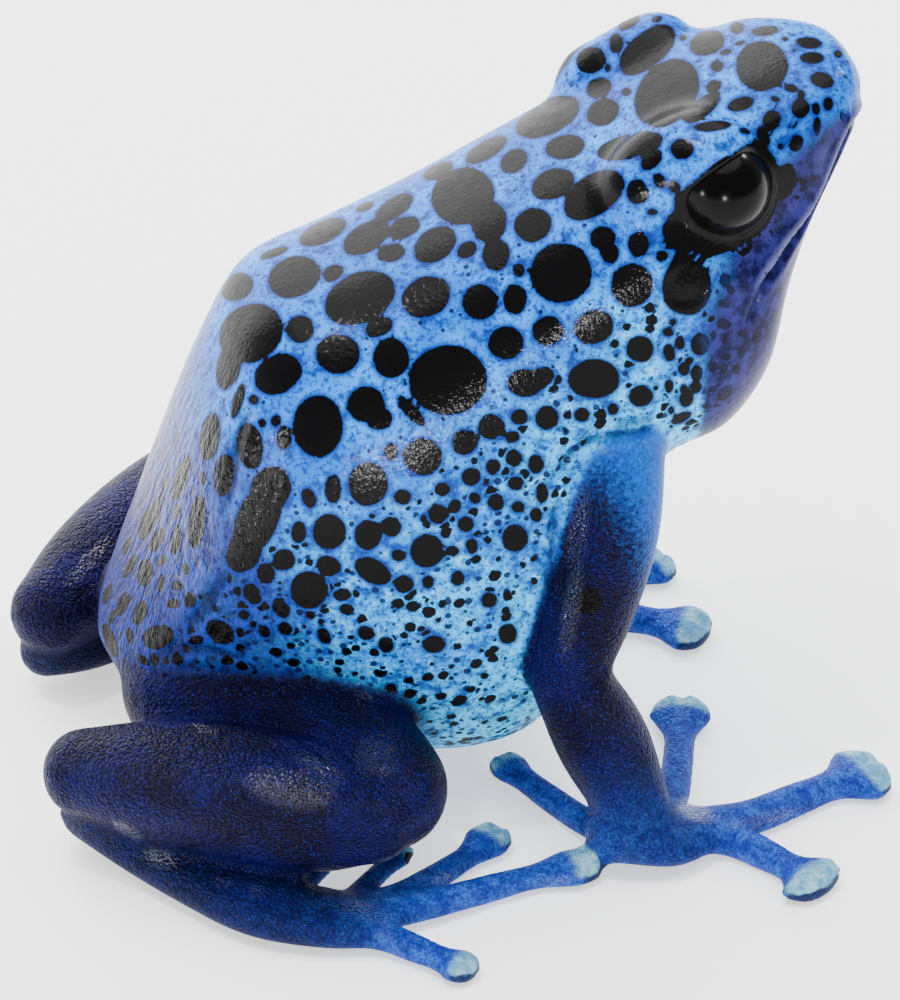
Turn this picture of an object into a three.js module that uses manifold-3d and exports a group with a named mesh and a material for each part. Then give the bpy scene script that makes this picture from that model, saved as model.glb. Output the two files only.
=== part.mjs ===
// A blue poison dart frog at life size, sitting up on its splayed hands with its hind legs folded beside it.
// Millimetres. +X is the way the frog faces, +Y its left side, +Z up. The floor it sits on is z = 0.
import * as THREE from "three";
import { mergeVertices } from "three/addons/utils/BufferGeometryUtils.js";
import Module from "manifold-3d";

const wasm = await Module();
wasm.setup();
const { Manifold } = wasm;

// The gap that touching parts keep between them.
const GAP = 0.3;

// Cross-sections of head and trunk, from the snout to the vent. Each spans from a point of the back line (top)
// to a point of the belly line (under), both as [x, z]. half is its half width, widest tells how far down it
// is widest, and above and below say how square its upper and lower parts are, where 2 is an ellipse.
const SECTIONS = [
  { top: [16.1, 27.2], under: [15.4, 24.6], half: 1.5, widest: 0.5, above: 2.6, below: 2.2 },
  { top: [15.4, 28.0], under: [14.7, 23.5], half: 2.8, widest: 0.45, above: 3.0, below: 2.1 },
  { top: [13.9, 28.3], under: [13.7, 21.3], half: 3.9, widest: 0.45, above: 3.1, below: 2.1 },
  { top: [12.1, 28.2], under: [12.9, 18.7], half: 4.95, widest: 0.48, above: 3.0, below: 2.1 },
  { top: [9.9, 27.75], under: [12.35, 15.9], half: 5.8, widest: 0.52, above: 2.7, below: 2.2 },
  { top: [7.5, 26.7], under: [10.8, 13.7], half: 6.4, widest: 0.52, above: 2.7, below: 2.2 },
  { top: [5.0, 25.35], under: [8.4, 12.6], half: 6.6, widest: 0.5, above: 2.6, below: 2.2 },
  { top: [2.4, 24.1], under: [6.8, 9.7], half: 6.8, widest: 0.5, above: 2.6, below: 2.2 },
  { top: [-0.4, 22.8], under: [5.7, 5.2], half: 7.3, widest: 0.52, above: 2.6, below: 2.4 },
  { top: [-3.4, 21.6], under: [3.4, 1.6], half: 7.7, widest: 0.56, above: 2.6, below: 2.5 },
  { top: [-6.4, 20.4], under: [-0.8, 0.6], half: 7.4, widest: 0.54, above: 2.5, below: 2.2 },
  { top: [-8.15, 17.4], under: [-5.2, 2.0], half: 6.5, widest: 0.48, above: 2.3, below: 1.9 },
  { top: [-9.6, 13.7], under: [-8.4, 3.2], half: 5.5, widest: 0.46, above: 2.2, below: 1.9 },
  { top: [-11.1, 9.8], under: [-10.8, 4.0], half: 4.2, widest: 0.5, above: 2.1, below: 2.0 },
  { top: [-12.3, 7.2], under: [-12.2, 5.0], half: 2.2, widest: 0.5, above: 2.0, below: 2.0 },
];

// The head ends behind the tympanum, on a plane through this point, tilted like the sections there.
const NAPE = { at: [6.6, 0, 20], normal: [0.97, 0, 0.24] };

// Eyes and lids are given on the left side; the right ones mirror them.
const EYE = { at: [9.95, 4.45, 25.25], radius: 1.75, facing: [0.1, 0.92, 0.3], lid: 0.3 };
// The opening between the lids is a cone that widens outwards from inner to outer over depth.
const OPENING = { inner: 1.25, outer: 2.75, depth: 3, from: 0.5 };
const BROW = { at: [8.6, 3.8, 25.6], radii: [3.1, 2.1, 2.0], pitch: -0.35 };
// The mouth runs from the snout to corner sections along the body. Under the snout it dips by a share of half a
// turn, and at its corners the groove fades out into the cheek. The upper lip is a roll that lies a little
// higher and deeper than the groove.
const MOUTH = { groove: 0.25, corner: 4.5, dip: 0.16, dipEnd: 2.2, bow: 0.05, fade: 1.2, sink: 0.3 };
const LIP = { radius: 0.38, depth: 0.28, higher: 0.05 };
// Nostrils: how many sections along the body, how far round from the back line in half turns, and their size.
const NOSTRIL = { along: 1.35, turn: 0.395, radius: 0.32 };
// Digits are never thinner than this, and their tips swell to a share of the disc's half width.
const DIGIT = { thinnest: 0.38, tip: 0.3, swell: 0.2 };

// Limbs: the points that each part passes through, each with the half width and half thickness there.
const ARMS = {
  right: {
    upper: [
      [[5.9, -4.6, 16.2], [2.1, 2.1]],
      [[5.5, -6.5, 12.7], [2.0, 1.9]],
      [[4.5, -7.5, 9.6], [1.65, 1.7]],
      [[3.55, -8.05, 7.4], [1.4, 1.45]],
    ],
    fore: [
      [[3.6, -8.05, 7.2], [1.45, 1.45]],
      [[4.75, -9.0, 4.8], [1.9, 1.75]],
      [[5.75, -10.0, 2.4], [1.65, 1.4]],
    ],
    palm: [
      [[5.1, -10.2, 1.5], [1.5, 1.2]],
      [[7.0, -10.0, 0.95], [1.9, 0.95]],
      [[8.9, -9.8, 0.65], [1.0, 0.65]],
    ],
    fingers: [
      { path: [[5.8, -9.6, 0.75], [4.4, -8.4, 0.6], [3.0, -5.6, 0.5], [2.2, -3.7, 0.42]],
        thick: 0.6, disc: 0.85 },
      { path: [[6.9, -9.3, 0.75], [8.1, -6.9, 0.6], [9.0, -4.1, 0.5], [9.7, -1.6, 0.45]],
        thick: 0.7, disc: 1.3 },
      { path: [[8.3, -9.7, 0.75], [10.6, -9.3, 0.6], [13.3, -8.1, 0.5], [15.7, -7.2, 0.45]],
        thick: 0.72, disc: 1.65 },
      { path: [[8.2, -10.0, 0.75], [9.6, -10.7, 0.6], [10.9, -12.2, 0.5], [11.9, -13.6, 0.45]],
        thick: 0.68, disc: 1.55 },
    ],
  },
  left: {
    upper: [
      [[5.9, 4.6, 16.2], [2.1, 2.1]],
      [[5.0, 6.4, 12.7], [2.0, 1.9]],
      [[3.6, 7.4, 9.2], [1.75, 1.75]],
      [[2.4, 7.8, 6.8], [1.5, 1.5]],
    ],
    fore: [
      [[2.3, 7.8, 6.9], [1.5, 1.5]],
      [[2.2, 7.8, 4.5], [1.75, 1.7]],
      [[2.6, 7.2, 2.3], [1.55, 1.4]],
    ],
    palm: [
      [[2.4, 7.1, 1.5], [1.5, 1.2]],
      [[4.2, 6.7, 0.95], [1.9, 0.95]],
      [[6.4, 6.4, 0.65], [1.1, 0.65]],
    ],
    fingers: [
      { path: [[3.0, 6.3, 0.75], [2.3, 5.0, 0.6], [1.6, 3.4, 0.5], [1.2, 2.2, 0.42]],
        thick: 0.55, disc: 0.75 },
      { path: [[4.7, 6.0, 0.75], [5.6, 4.0, 0.6], [6.2, 1.8, 0.5], [6.4, 0.0, 0.42]],
        thick: 0.68, disc: 1.3 },
      { path: [[5.5, 6.2, 0.75], [7.4, 5.6, 0.6], [9.5, 4.6, 0.5], [11.6, 3.5, 0.42]],
        thick: 0.7, disc: 1.5 },
      { path: [[5.3, 6.6, 0.75], [7.4, 6.8, 0.6], [9.4, 7.6, 0.5], [11.2, 8.5, 0.42]],
        thick: 0.68, disc: 1.4 },
    ],
  },
};
const LEGS = {
  right: {
    thigh: [
      [[-9.8, -3.0, 5.2], [2.5, 2.6]],
      [[-8.0, -4.2, 4.9], [2.5, 2.5]],
      [[-5.8, -5.8, 4.6], [2.4, 2.4]],
      [[-4.2, -7.8, 4.5], [2.35, 2.35]],
      [[-3.35, -9.7, 4.25], [2.1, 2.4]],
    ],
    shank: [
      [[-4.3, -10.7, 3.95], [1.7, 1.95]],
      [[-6.1, -10.15, 4.1], [2.3, 2.4]],
      [[-8.8, -8.7, 4.2], [2.5, 2.5]],
      [[-11.8, -7.0, 4.0], [2.25, 2.25]],
      [[-14.1, -5.6, 3.7], [1.65, 1.75]],
    ],
    foot: [
      [[-14.0, -5.0, 1.6], [1.1, 1.2]],
      [[-12.4, -6.9, 1.1], [1.2, 1.0]],
      [[-10.6, -9.2, 0.95], [1.3, 0.95]],
      [[-8.6, -11.3, 0.9], [1.5, 0.95]],
      [[-6.4, -12.4, 0.8], [1.5, 0.85]],
      [[-4.9, -13.0, 0.7], [1.2, 0.7]],
    ],
    toes: [
      { path: [[-7.8, -11.4, 0.6], [-7.0, -10.4, 0.5], [-6.3, -9.4, 0.45], [-5.8, -8.6, 0.36]],
        thick: 0.45, disc: 0.55 },
      { path: [[-6.6, -12.0, 0.65], [-5.2, -11.2, 0.55], [-3.9, -9.7, 0.45], [-2.7, -8.4, 0.38]],
        thick: 0.5, disc: 0.65 },
      { path: [[-5.8, -12.2, 0.7], [-3.4, -11.4, 0.6], [-1.0, -9.8, 0.48], [0.9, -8.2, 0.42]],
        thick: 0.58, disc: 1.0 },
      { path: [[-5.6, -12.7, 0.75], [-2.4, -12.2, 0.65], [0.8, -11.3, 0.5], [3.9, -10.7, 0.42]],
        thick: 0.6, disc: 1.05 },
      { path: [[-6.0, -12.9, 0.7], [-4.4, -13.8, 0.65], [-3.0, -15.0, 0.5], [-1.9, -16.0, 0.42]],
        thick: 0.6, disc: 0.95 },
    ],
  },
  left: {
    thigh: [
      [[-9.8, 3.0, 5.2], [2.5, 2.6]],
      [[-8.2, 5.0, 4.9], [2.5, 2.5]],
      [[-6.8, 7.2, 4.6], [2.4, 2.4]],
      [[-5.6, 9.6, 4.5], [2.3, 2.3]],
      [[-4.9, 11.8, 4.5], [2.0, 2.2]],
    ],
    shank: [
      [[-5.5, 12.8, 4.15], [1.9, 2.2]],
      [[-7.2, 11.5, 4.05], [2.4, 2.45]],
      [[-9.5, 9.4, 3.95], [2.5, 2.5]],
      [[-11.8, 7.2, 3.8], [2.25, 2.25]],
      [[-13.7, 5.4, 3.6], [1.65, 1.75]],
    ],
    foot: [
      [[-13.9, 5.9, 1.6], [1.1, 1.2]],
      [[-12.2, 6.6, 1.1], [1.2, 1.0]],
      [[-10.0, 7.8, 0.95], [1.3, 0.95]],
      [[-7.8, 9.1, 0.9], [1.5, 0.95]],
      [[-5.8, 10.3, 0.8], [1.5, 0.85]],
      [[-4.4, 11.2, 0.7], [1.2, 0.7]],
    ],
    toes: [
      { path: [[-6.4, 8.6, 0.6], [-5.4, 7.9, 0.5], [-4.4, 7.3, 0.45], [-3.4, 6.9, 0.36]],
        thick: 0.45, disc: 0.55 },
      { path: [[-5.6, 9.6, 0.65], [-3.9, 9.0, 0.55], [-2.2, 8.3, 0.45], [-0.7, 7.7, 0.36]],
        thick: 0.5, disc: 0.65 },
      { path: [[-5.2, 10.2, 0.7], [-2.6, 10.2, 0.6], [0.0, 10.0, 0.48], [2.4, 9.5, 0.38]],
        thick: 0.55, disc: 0.8 },
      { path: [[-5.2, 10.6, 0.75], [-2.4, 11.6, 0.65], [0.6, 12.4, 0.5], [3.2, 12.8, 0.4]],
        thick: 0.6, disc: 0.85 },
      { path: [[-5.6, 10.8, 0.7], [-4.2, 12.2, 0.65], [-3.0, 13.8, 0.5], [-2.2, 15.4, 0.4]],
        thick: 0.6, disc: 0.8 },
    ],
  },
};

// How finely the lofts are faceted.
const BODY_SIDES = 32;
const BODY_STEPS = 2;
const LIMB_SIDES = 12;
const LIMB_STEPS = 3;
const DIGIT_SIDES = 8;

const vector = (p) => new THREE.Vector3(...p);
/** A uniform Catmull-Rom curve through points. */
const curve = (points) => new THREE.CatmullRomCurve3(points.map(vector), false, "catmullrom", 0.5);
const power = (value, exponent) => Math.sign(value) * Math.abs(value) ** exponent;

/** Closes rings of equal length into one body, with a pole at each end. */
function closedRings(rings, first, last) {
  const sides = rings[0].length;
  const at = (ring, k) => 1 + ring * sides + (k % sides);
  const end = 1 + rings.length * sides;
  const index = [];
  for (let k = 0; k < sides; k++) {
    index.push(0, at(0, k + 1), at(0, k), end, at(rings.length - 1, k), at(rings.length - 1, k + 1));
    for (let r = 0; r + 1 < rings.length; r++) {
      index.push(at(r, k), at(r, k + 1), at(r + 1, k + 1), at(r, k), at(r + 1, k + 1), at(r + 1, k));
    }
  }
  return new THREE.BufferGeometry().setFromPoints([first, ...rings.flat(), last]).setIndex(index);
}

/** The curves that the sections are drawn from: back line, belly line, width and roundness. */
const body = {
  top: curve(SECTIONS.map((s) => [s.top[0], 0, s.top[1]])),
  under: curve(SECTIONS.map((s) => [s.under[0], 0, s.under[1]])),
  shape: curve(SECTIONS.map((s) => [s.half, s.widest, 0])),
  round: curve(SECTIONS.map((s) => [s.above, s.below, 0])),
};

/** The point of the body's surface at t along it, turned by angle from the back (0) to the belly (pi). */
function bodyPoint(t, angle, grow = 0) {
  const shape = body.shape.getPoint(t);
  const round = body.round.getPoint(t);
  const top = body.top.getPoint(t);
  const under = body.under.getPoint(t);
  const down = under.clone().sub(top).normalize();
  top.addScaledVector(down, -grow);
  under.addScaledVector(down, grow);
  const c = Math.cos(angle);
  const exponent = 2 / (c > 0 ? round.x : round.y);
  const point = top.clone().lerp(under, shape.y).lerp(c > 0 ? top : under, Math.abs(c) ** exponent);
  point.y = (shape.x + grow) * power(Math.sin(angle), exponent);
  return point;
}

function bodyGeometry(grow = 0) {
  const count = (SECTIONS.length - 1) * BODY_STEPS;
  const rings = Array.from({ length: count + 1 }, (_, i) =>
    Array.from({ length: BODY_SIDES }, (_, k) => bodyPoint(i / count, (k / BODY_SIDES) * 2 * Math.PI, grow)),
  );
  const middle = (ring) => ring.reduce((sum, p) => sum.add(p), vector([0, 0, 0])).divideScalar(ring.length);
  const snout = middle(rings[0]);
  const vent = middle(rings.at(-1));
  snout.x += 0.3 + grow;
  vent.x -= 0.5 + grow;
  return closedRings(rings, snout, vent);
}

/** A round-ended limb through stations of [point, [half width, half thickness]]. */
function limbGeometry(stations, grow = 0, sides = LIMB_SIDES, steps = LIMB_STEPS, up = [0, 0, 1], domes = 2) {
  const way = curve(stations.map(([p]) => p));
  const size = curve(stations.map(([, s]) => [...s, 0]));
  const count = (stations.length - 1) * steps;
  const upward = vector(up);
  const stationAt = (t) => {
    const tangent = way.getTangent(t);
    const side = vector([0, 0, 0]).crossVectors(upward, tangent).normalize();
    const normal = vector([0, 0, 0]).crossVectors(tangent, side).normalize();
    const s = size.getPoint(t);
    return { at: way.getPoint(t), tangent, side, normal, wide: s.x + grow, thick: s.y + grow };
  };
  const ring = (f, scale, along) =>
    Array.from({ length: sides }, (_, k) => {
      const angle = (k / sides) * 2 * Math.PI;
      return f.at
        .clone()
        .addScaledVector(f.tangent, along)
        .addScaledVector(f.side, f.wide * scale * Math.cos(angle))
        .addScaledVector(f.normal, f.thick * scale * Math.sin(angle));
    });
  const start = stationAt(0);
  const end = stationAt(1);
  const dome = (f, i, way) => {
    const angle = (i / (domes + 1)) * (Math.PI / 2);
    return ring(f, Math.cos(angle), way * Math.min(f.wide, f.thick) * Math.sin(angle));
  };
  const rings = [];
  for (let i = domes; i > 0; i--) rings.push(dome(start, i, -1));
  for (let i = 0; i <= count; i++) rings.push(ring(stationAt(i / count), 1, 0));
  for (let i = 1; i <= domes; i++) rings.push(dome(end, i, 1));
  const tip = (f, way) => f.at.clone().addScaledVector(f.tangent, way * Math.min(f.wide, f.thick));
  return closedRings(rings, tip(start, -1), tip(end, 1));
}

/** A finger or toe along its path, widened to a flat disc at the tip. */
function digitGeometry({ path, thick, disc }, grow = 0) {
  const way = curve(path);
  const profile = [[0, 1.25], [0.3, 1.0], [0.55, 0.9], [0.75, 0.95], [0.85, 0], [0.92, 1], [1, 0.85]];
  const stations = profile.map(([t, scale], i) => {
    const wide = i < 4 ? thick * scale : i === 4 ? (thick + disc) / 2 : disc * scale;
    const stalk = Math.max(DIGIT.thinnest, thick * (i < 3 ? 1 : 0.8));
    return [way.getPoint(t).toArray(), [wide, i < 5 ? stalk : DIGIT.tip + DIGIT.swell * disc]];
  });
  return limbGeometry(stations, grow, DIGIT_SIDES, 1, [0, 0, 1], 1);
}

/** The closed solid that a geometry bounds. */
function solid(geometry) {
  const clean = geometry.clone();
  clean.deleteAttribute("normal");
  clean.deleteAttribute("uv");
  const merged = mergeVertices(clean, 1e-5);
  const mesh = new wasm.Mesh({
    numProp: 3,
    vertProperties: new Float32Array(merged.attributes.position.array),
    triVerts: new Uint32Array(merged.index.array),
  });
  return new Manifold(mesh);
}
function shapeOf(manifold) {
  const mesh = manifold.getMesh();
  const geometry = new THREE.BufferGeometry();
  geometry.setAttribute("position", new THREE.BufferAttribute(mesh.vertProperties, 3));
  geometry.setIndex(new THREE.BufferAttribute(mesh.triVerts, 1));
  return geometry;
}
/** The largest closed surface of a solid. */
function largest(manifold) {
  return manifold.decompose().sort((a, b) => b.volume() - a.volume())[0];
}

const REACH = 80;
const FLOOR = solid(new THREE.BoxGeometry(REACH, REACH, REACH).translate(0, 0, -REACH / 2));
const body0 = solid(bodyGeometry());
const body1 = solid(bodyGeometry(GAP));

/** Eyeball, its socket, the lids round it, the brow over it and the opening between the lids. */
function eyeSolids(side) {
  const at = [EYE.at[0], side * EYE.at[1], EYE.at[2]];
  const sphere = (radius) => new THREE.SphereGeometry(radius, 20, 14).rotateX(Math.PI / 2);
  const facing = vector([EYE.facing[0], side * EYE.facing[1], EYE.facing[2]]).normalize();
  const turn = new THREE.Quaternion().setFromUnitVectors(vector([0, 1, 0]), facing);
  const opening = new THREE.CylinderGeometry(OPENING.outer, OPENING.inner, OPENING.depth, 20);
  const brow = sphere(1).scale(...BROW.radii).rotateY(BROW.pitch);
  return {
    ball: solid(sphere(EYE.radius).translate(...at)),
    socket: solid(sphere(EYE.radius + GAP).translate(...at)),
    lids: solid(sphere(EYE.radius + GAP + EYE.lid).translate(...at)),
    brow: solid(brow.translate(BROW.at[0], side * BROW.at[1], BROW.at[2])),
    opening: solid(opening.translate(0, OPENING.depth / 2 + OPENING.from, 0).applyQuaternion(turn).translate(...at)),
  };
}

/** The line of the mouth on the body's surface, from corner to corner round the snout. */
function mouthPath(outward, raise) {
  const last = SECTIONS.length - 1;
  const count = 9;
  const half = Array.from({ length: count + 1 }, (_, i) => (MOUTH.corner * i) / count);
  const stops = [...half.slice().reverse().map((u) => [u, -1]), ...half.map((u) => [u, 1])];
  return stops.map(([u, side]) => {
    const bow = MOUTH.bow * Math.sin((Math.PI * u) / MOUTH.corner);
    const dip = MOUTH.dip * Math.max(0, 1 - u / MOUTH.dipEnd) ** 1.5 + bow;
    const fade = Math.min(1, (MOUTH.corner - u) / MOUTH.fade);
    const depth = outward * fade - MOUTH.sink * (1 - fade);
    const point = bodyPoint(u / last, Math.PI * (0.5 + dip - raise), depth);
    return [point.x, side * Math.abs(point.y), point.z];
  });
}
const tube = (points, radius) =>
  solid(limbGeometry(points.map((p) => [p, [radius, radius]]), 0, 6, 1, [0, 0, 1], 1));

/** Everything on one side of the nape's plane, moved off it by offset. */
const halfSpace = (offset, flip) => {
  const normal = vector(NAPE.normal).normalize().multiplyScalar(flip);
  const turn = new THREE.Quaternion().setFromUnitVectors(vector([0, 0, 1]), normal);
  const box = new THREE.BoxGeometry(REACH, REACH, REACH).translate(0, 0, REACH / 2 + offset);
  return solid(box.applyQuaternion(turn).translate(...NAPE.at));
};

const eyes = { right: eyeSolids(-1), left: eyeSolids(1) };
let head = body0;
for (const { brow, lids } of Object.values(eyes)) head = head.add(brow).add(lids);
head = head.add(tube(mouthPath(-LIP.depth, LIP.higher), LIP.radius)).subtract(tube(mouthPath(0, 0), MOUTH.groove));
for (const side of [-1, 1]) {
  const at = bodyPoint(NOSTRIL.along / (SECTIONS.length - 1), side * NOSTRIL.turn * Math.PI);
  const hole = new THREE.SphereGeometry(NOSTRIL.radius, 10, 6);
  head = head.subtract(solid(hole.translate(at.x, at.y, at.z)));
}
for (const { socket, opening } of Object.values(eyes)) head = head.subtract(socket).subtract(opening);
head = largest(head.intersect(halfSpace(GAP / 2, 1)));
const torso = body0.intersect(halfSpace(GAP / 2, -1));

const PAINT = { back: 0x5a9fe6, limb: 0x1f2a86, hand: 0x3f6bd0, eye: 0x0b0a0c };

const frog = new THREE.Group();
function add(name, manifold, color, roughness = 0.35) {
  const material = new THREE.MeshStandardMaterial({ color, roughness, metalness: 0 });
  const mesh = new THREE.Mesh(shapeOf(manifold), material);
  mesh.name = name;
  frog.add(mesh);
}
/** What is left of a shape after its neighbours, grown by the gap, and the floor are cut away. */
function trimmed(shape, ...neighbours) {
  return largest(neighbours.reduce((rest, n) => rest.subtract(n), shape).subtract(FLOOR));
}
/** Fingers or toes, each cut clear of the one before it and of what they grow from. */
function addDigits(name, digits, ...roots) {
  digits.forEach((digit, i) => {
    const before = i > 0 ? [solid(digitGeometry(digits[i - 1], GAP))] : [];
    add(`${name}_${i + 1}`, trimmed(solid(digitGeometry(digit)), ...before, ...roots), PAINT.hand);
  });
}
const ACROSS = [1, 0, 0];
const limb = (stations, grow = 0, up) => solid(limbGeometry(stations, grow, LIMB_SIDES, LIMB_STEPS, up));

add("head", head, PAINT.back);
add("torso", torso, PAINT.back);
for (const [side, { ball }] of Object.entries(eyes)) add(`${side}_eye`, ball, PAINT.eye, 0.05);
for (const side of ["right", "left"]) {
  const arm = ARMS[side];
  const upperGrown = limb(arm.upper, GAP, ACROSS);
  const foreGrown = limb(arm.fore, GAP, ACROSS);
  const palmGrown = limb(arm.palm, GAP);
  add(`${side}_upper_arm`, trimmed(limb(arm.upper, 0, ACROSS), body1), PAINT.limb);
  add(`${side}_forearm`, trimmed(limb(arm.fore, 0, ACROSS), upperGrown, body1), PAINT.limb);
  add(`${side}_hand`, trimmed(limb(arm.palm), foreGrown), PAINT.hand);
  addDigits(`${side}_finger`, arm.fingers, palmGrown, foreGrown);

  const leg = LEGS[side];
  const thighGrown = limb(leg.thigh, GAP);
  const shankGrown = limb(leg.shank, GAP);
  const footGrown = limb(leg.foot, GAP);
  add(`${side}_thigh`, trimmed(limb(leg.thigh), body1), PAINT.limb);
  add(`${side}_shank`, trimmed(limb(leg.shank), thighGrown, body1), PAINT.limb);
  add(`${side}_foot`, trimmed(limb(leg.foot), shankGrown, thighGrown, body1), PAINT.limb);
  addDigits(`${side}_toe`, leg.toes, footGrown, shankGrown, thighGrown, body1);
}

// The origin lies on the floor under the middle of the frog.
const box = new THREE.Box3().setFromObject(frog);
const middle = box.getCenter(vector([0, 0, 0]));
const shift = vector([-middle.x, -middle.y, -box.min.z]);
for (const { geometry } of frog.children) geometry.translate(shift.x, shift.y, shift.z);
frog.userData.shift = shift.toArray();
export default frog;
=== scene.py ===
"""A blue poison dart frog, life size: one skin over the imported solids, eyes, markings, floor and light.

Sizes and places are in millimetres in the frog's own frame, +X the way it faces and z = 0 the floor.
"""
import math

import bmesh
import bpy
import numpy as np
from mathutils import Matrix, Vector
from mathutils.bvhtree import BVHTree
from mathutils.kdtree import KDTree


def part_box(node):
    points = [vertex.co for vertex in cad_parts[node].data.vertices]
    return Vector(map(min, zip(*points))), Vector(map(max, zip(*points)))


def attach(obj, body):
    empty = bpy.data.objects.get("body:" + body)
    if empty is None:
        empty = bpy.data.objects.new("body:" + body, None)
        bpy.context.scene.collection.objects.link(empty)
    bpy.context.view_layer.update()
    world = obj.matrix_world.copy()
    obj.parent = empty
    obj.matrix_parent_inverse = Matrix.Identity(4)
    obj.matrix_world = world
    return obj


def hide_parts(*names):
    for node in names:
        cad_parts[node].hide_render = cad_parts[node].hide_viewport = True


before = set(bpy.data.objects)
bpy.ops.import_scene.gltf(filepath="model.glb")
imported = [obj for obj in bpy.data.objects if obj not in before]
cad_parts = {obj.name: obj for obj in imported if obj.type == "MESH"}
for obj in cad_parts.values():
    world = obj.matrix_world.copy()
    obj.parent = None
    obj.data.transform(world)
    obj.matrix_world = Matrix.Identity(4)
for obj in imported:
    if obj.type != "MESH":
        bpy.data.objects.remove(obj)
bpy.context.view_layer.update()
MM = 0.001

# Head and trunk from the snout to the vent: back line and belly line as x, z, then half width, how far down
# it is widest, and how square its upper and lower halves are, where 2 is an ellipse.
SECTIONS = [
    ((16.1, 27.2), (15.4, 24.6), 1.5, 0.5, 2.6, 2.2),
    ((15.4, 28.0), (14.7, 23.5), 2.8, 0.45, 3.0, 2.1),
    ((13.9, 28.3), (13.7, 21.3), 3.9, 0.45, 3.1, 2.1),
    ((12.1, 28.2), (12.9, 18.7), 4.95, 0.48, 3.0, 2.1),
    ((9.9, 27.75), (12.35, 15.9), 5.8, 0.52, 2.7, 2.2),
    ((7.5, 26.7), (10.8, 13.7), 6.4, 0.52, 2.7, 2.2),
    ((5.0, 25.35), (8.4, 12.6), 6.6, 0.5, 2.6, 2.2),
    ((2.4, 24.1), (6.8, 9.7), 6.8, 0.5, 2.6, 2.2),
    ((-0.4, 22.8), (5.7, 5.2), 7.3, 0.52, 2.6, 2.4),
    ((-3.4, 21.6), (3.4, 1.6), 7.7, 0.56, 2.6, 2.5),
    ((-6.4, 20.4), (-0.8, 0.6), 7.4, 0.54, 2.5, 2.2),
    ((-8.15, 17.4), (-5.2, 2.0), 6.5, 0.48, 2.3, 1.9),
    ((-9.6, 13.7), (-8.4, 3.2), 5.5, 0.46, 2.2, 1.9),
    ((-11.1, 9.8), (-10.8, 4.0), 4.2, 0.5, 2.1, 2.0),
    ((-12.3, 7.2), (-12.2, 5.0), 2.2, 0.5, 2.0, 2.0),
]

LAST_SECTION = len(SECTIONS) - 1
HEAD_FLOOR = 18

EYE_AT = (9.95, 4.45, 25.25)
EYE_RADIUS = 1.75
EYE_FACING = (0.1, 0.92, 0.3)
EYE_OPENING = 1.63
UPPER_LID_WAY = (-0.475, -0.555, 0.684)
UPPER_LID_HEIGHT = 0.28
RIM_ANGLE = math.asin(EYE_OPENING / EYE_RADIUS)
LID_ANGLE = math.asin(UPPER_LID_HEIGHT)
LID_CORNER = 9.0
LID_MOUND = 2.2
LID_EDGE_REACH = 2.15
LOWER_MARGIN = 0.28
UPPER_MARGIN = 0.07
BROW_AT = (8.85, 3.75, 25.7)
BROW_RADII = (3.35, 2.25, 2.1)
BROW_PITCH = -0.35
SIDES = {"right": -1, "left": 1}
NOSTRIL_ALONG = 1.35
NOSTRIL_TURN = 0.395

# Limbs: stations of x, y, z, half width, half thickness.
ARMS = {
    "right": {
        "upper_arm": [
            (5.9, -4.6, 16.2, 2.1, 2.1), (5.5, -6.5, 12.7, 2.0, 1.9), (4.5, -7.5, 9.6, 1.65, 1.7),
            (3.55, -8.05, 7.4, 1.4, 1.45),
        ],
        "forearm": [
            (3.6, -8.05, 7.2, 1.45, 1.45), (4.75, -9.0, 4.8, 1.9, 1.75), (5.75, -10.0, 2.4, 1.65, 1.4),
        ],
        "hand": [
            (5.1, -10.2, 1.5, 1.5, 1.2), (7.0, -10.0, 0.95, 1.9, 0.95), (8.9, -9.8, 0.65, 1.0, 0.65),
        ],
        "fingers": [
            (((5.8, -9.6, 0.75), (4.4, -8.4, 0.6), (3.0, -5.6, 0.5), (2.2, -3.7, 0.42)), 0.6, 0.85),
            (((6.9, -9.3, 0.75), (8.1, -6.9, 0.6), (9.0, -4.1, 0.5), (9.7, -1.6, 0.45)), 0.7, 1.3),
            (((8.3, -9.7, 0.75), (10.6, -9.3, 0.6), (13.3, -8.1, 0.5), (15.7, -7.2, 0.45)), 0.72, 1.65),
            (((8.2, -10.0, 0.75), (9.6, -10.7, 0.6), (10.9, -12.2, 0.5), (11.9, -13.6, 0.45)), 0.68, 1.55),
        ],
    },
    "left": {
        "upper_arm": [
            (5.9, 4.6, 16.2, 2.1, 2.1), (5.0, 6.4, 12.7, 2.0, 1.9), (3.6, 7.4, 9.2, 1.75, 1.75),
            (2.4, 7.8, 6.8, 1.5, 1.5),
        ],
        "forearm": [(2.3, 7.8, 6.9, 1.5, 1.5), (2.2, 7.8, 4.5, 1.75, 1.7), (2.6, 7.2, 2.3, 1.55, 1.4)],
        "hand": [(2.4, 7.1, 1.5, 1.5, 1.2), (4.2, 6.7, 0.95, 1.9, 0.95), (6.4, 6.4, 0.65, 1.1, 0.65)],
        "fingers": [
            (((3.0, 6.3, 0.75), (2.3, 5.0, 0.6), (1.6, 3.4, 0.5), (1.2, 2.2, 0.42)), 0.55, 0.75),
            (((4.7, 6.0, 0.75), (5.6, 4.0, 0.6), (6.2, 1.8, 0.5), (6.4, 0.0, 0.42)), 0.68, 1.3),
            (((5.5, 6.2, 0.75), (7.4, 5.6, 0.6), (9.5, 4.6, 0.5), (11.6, 3.5, 0.42)), 0.7, 1.5),
            (((5.3, 6.6, 0.75), (7.4, 6.8, 0.6), (9.4, 7.6, 0.5), (11.2, 8.5, 0.42)), 0.68, 1.4),
        ],
    },
}
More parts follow.
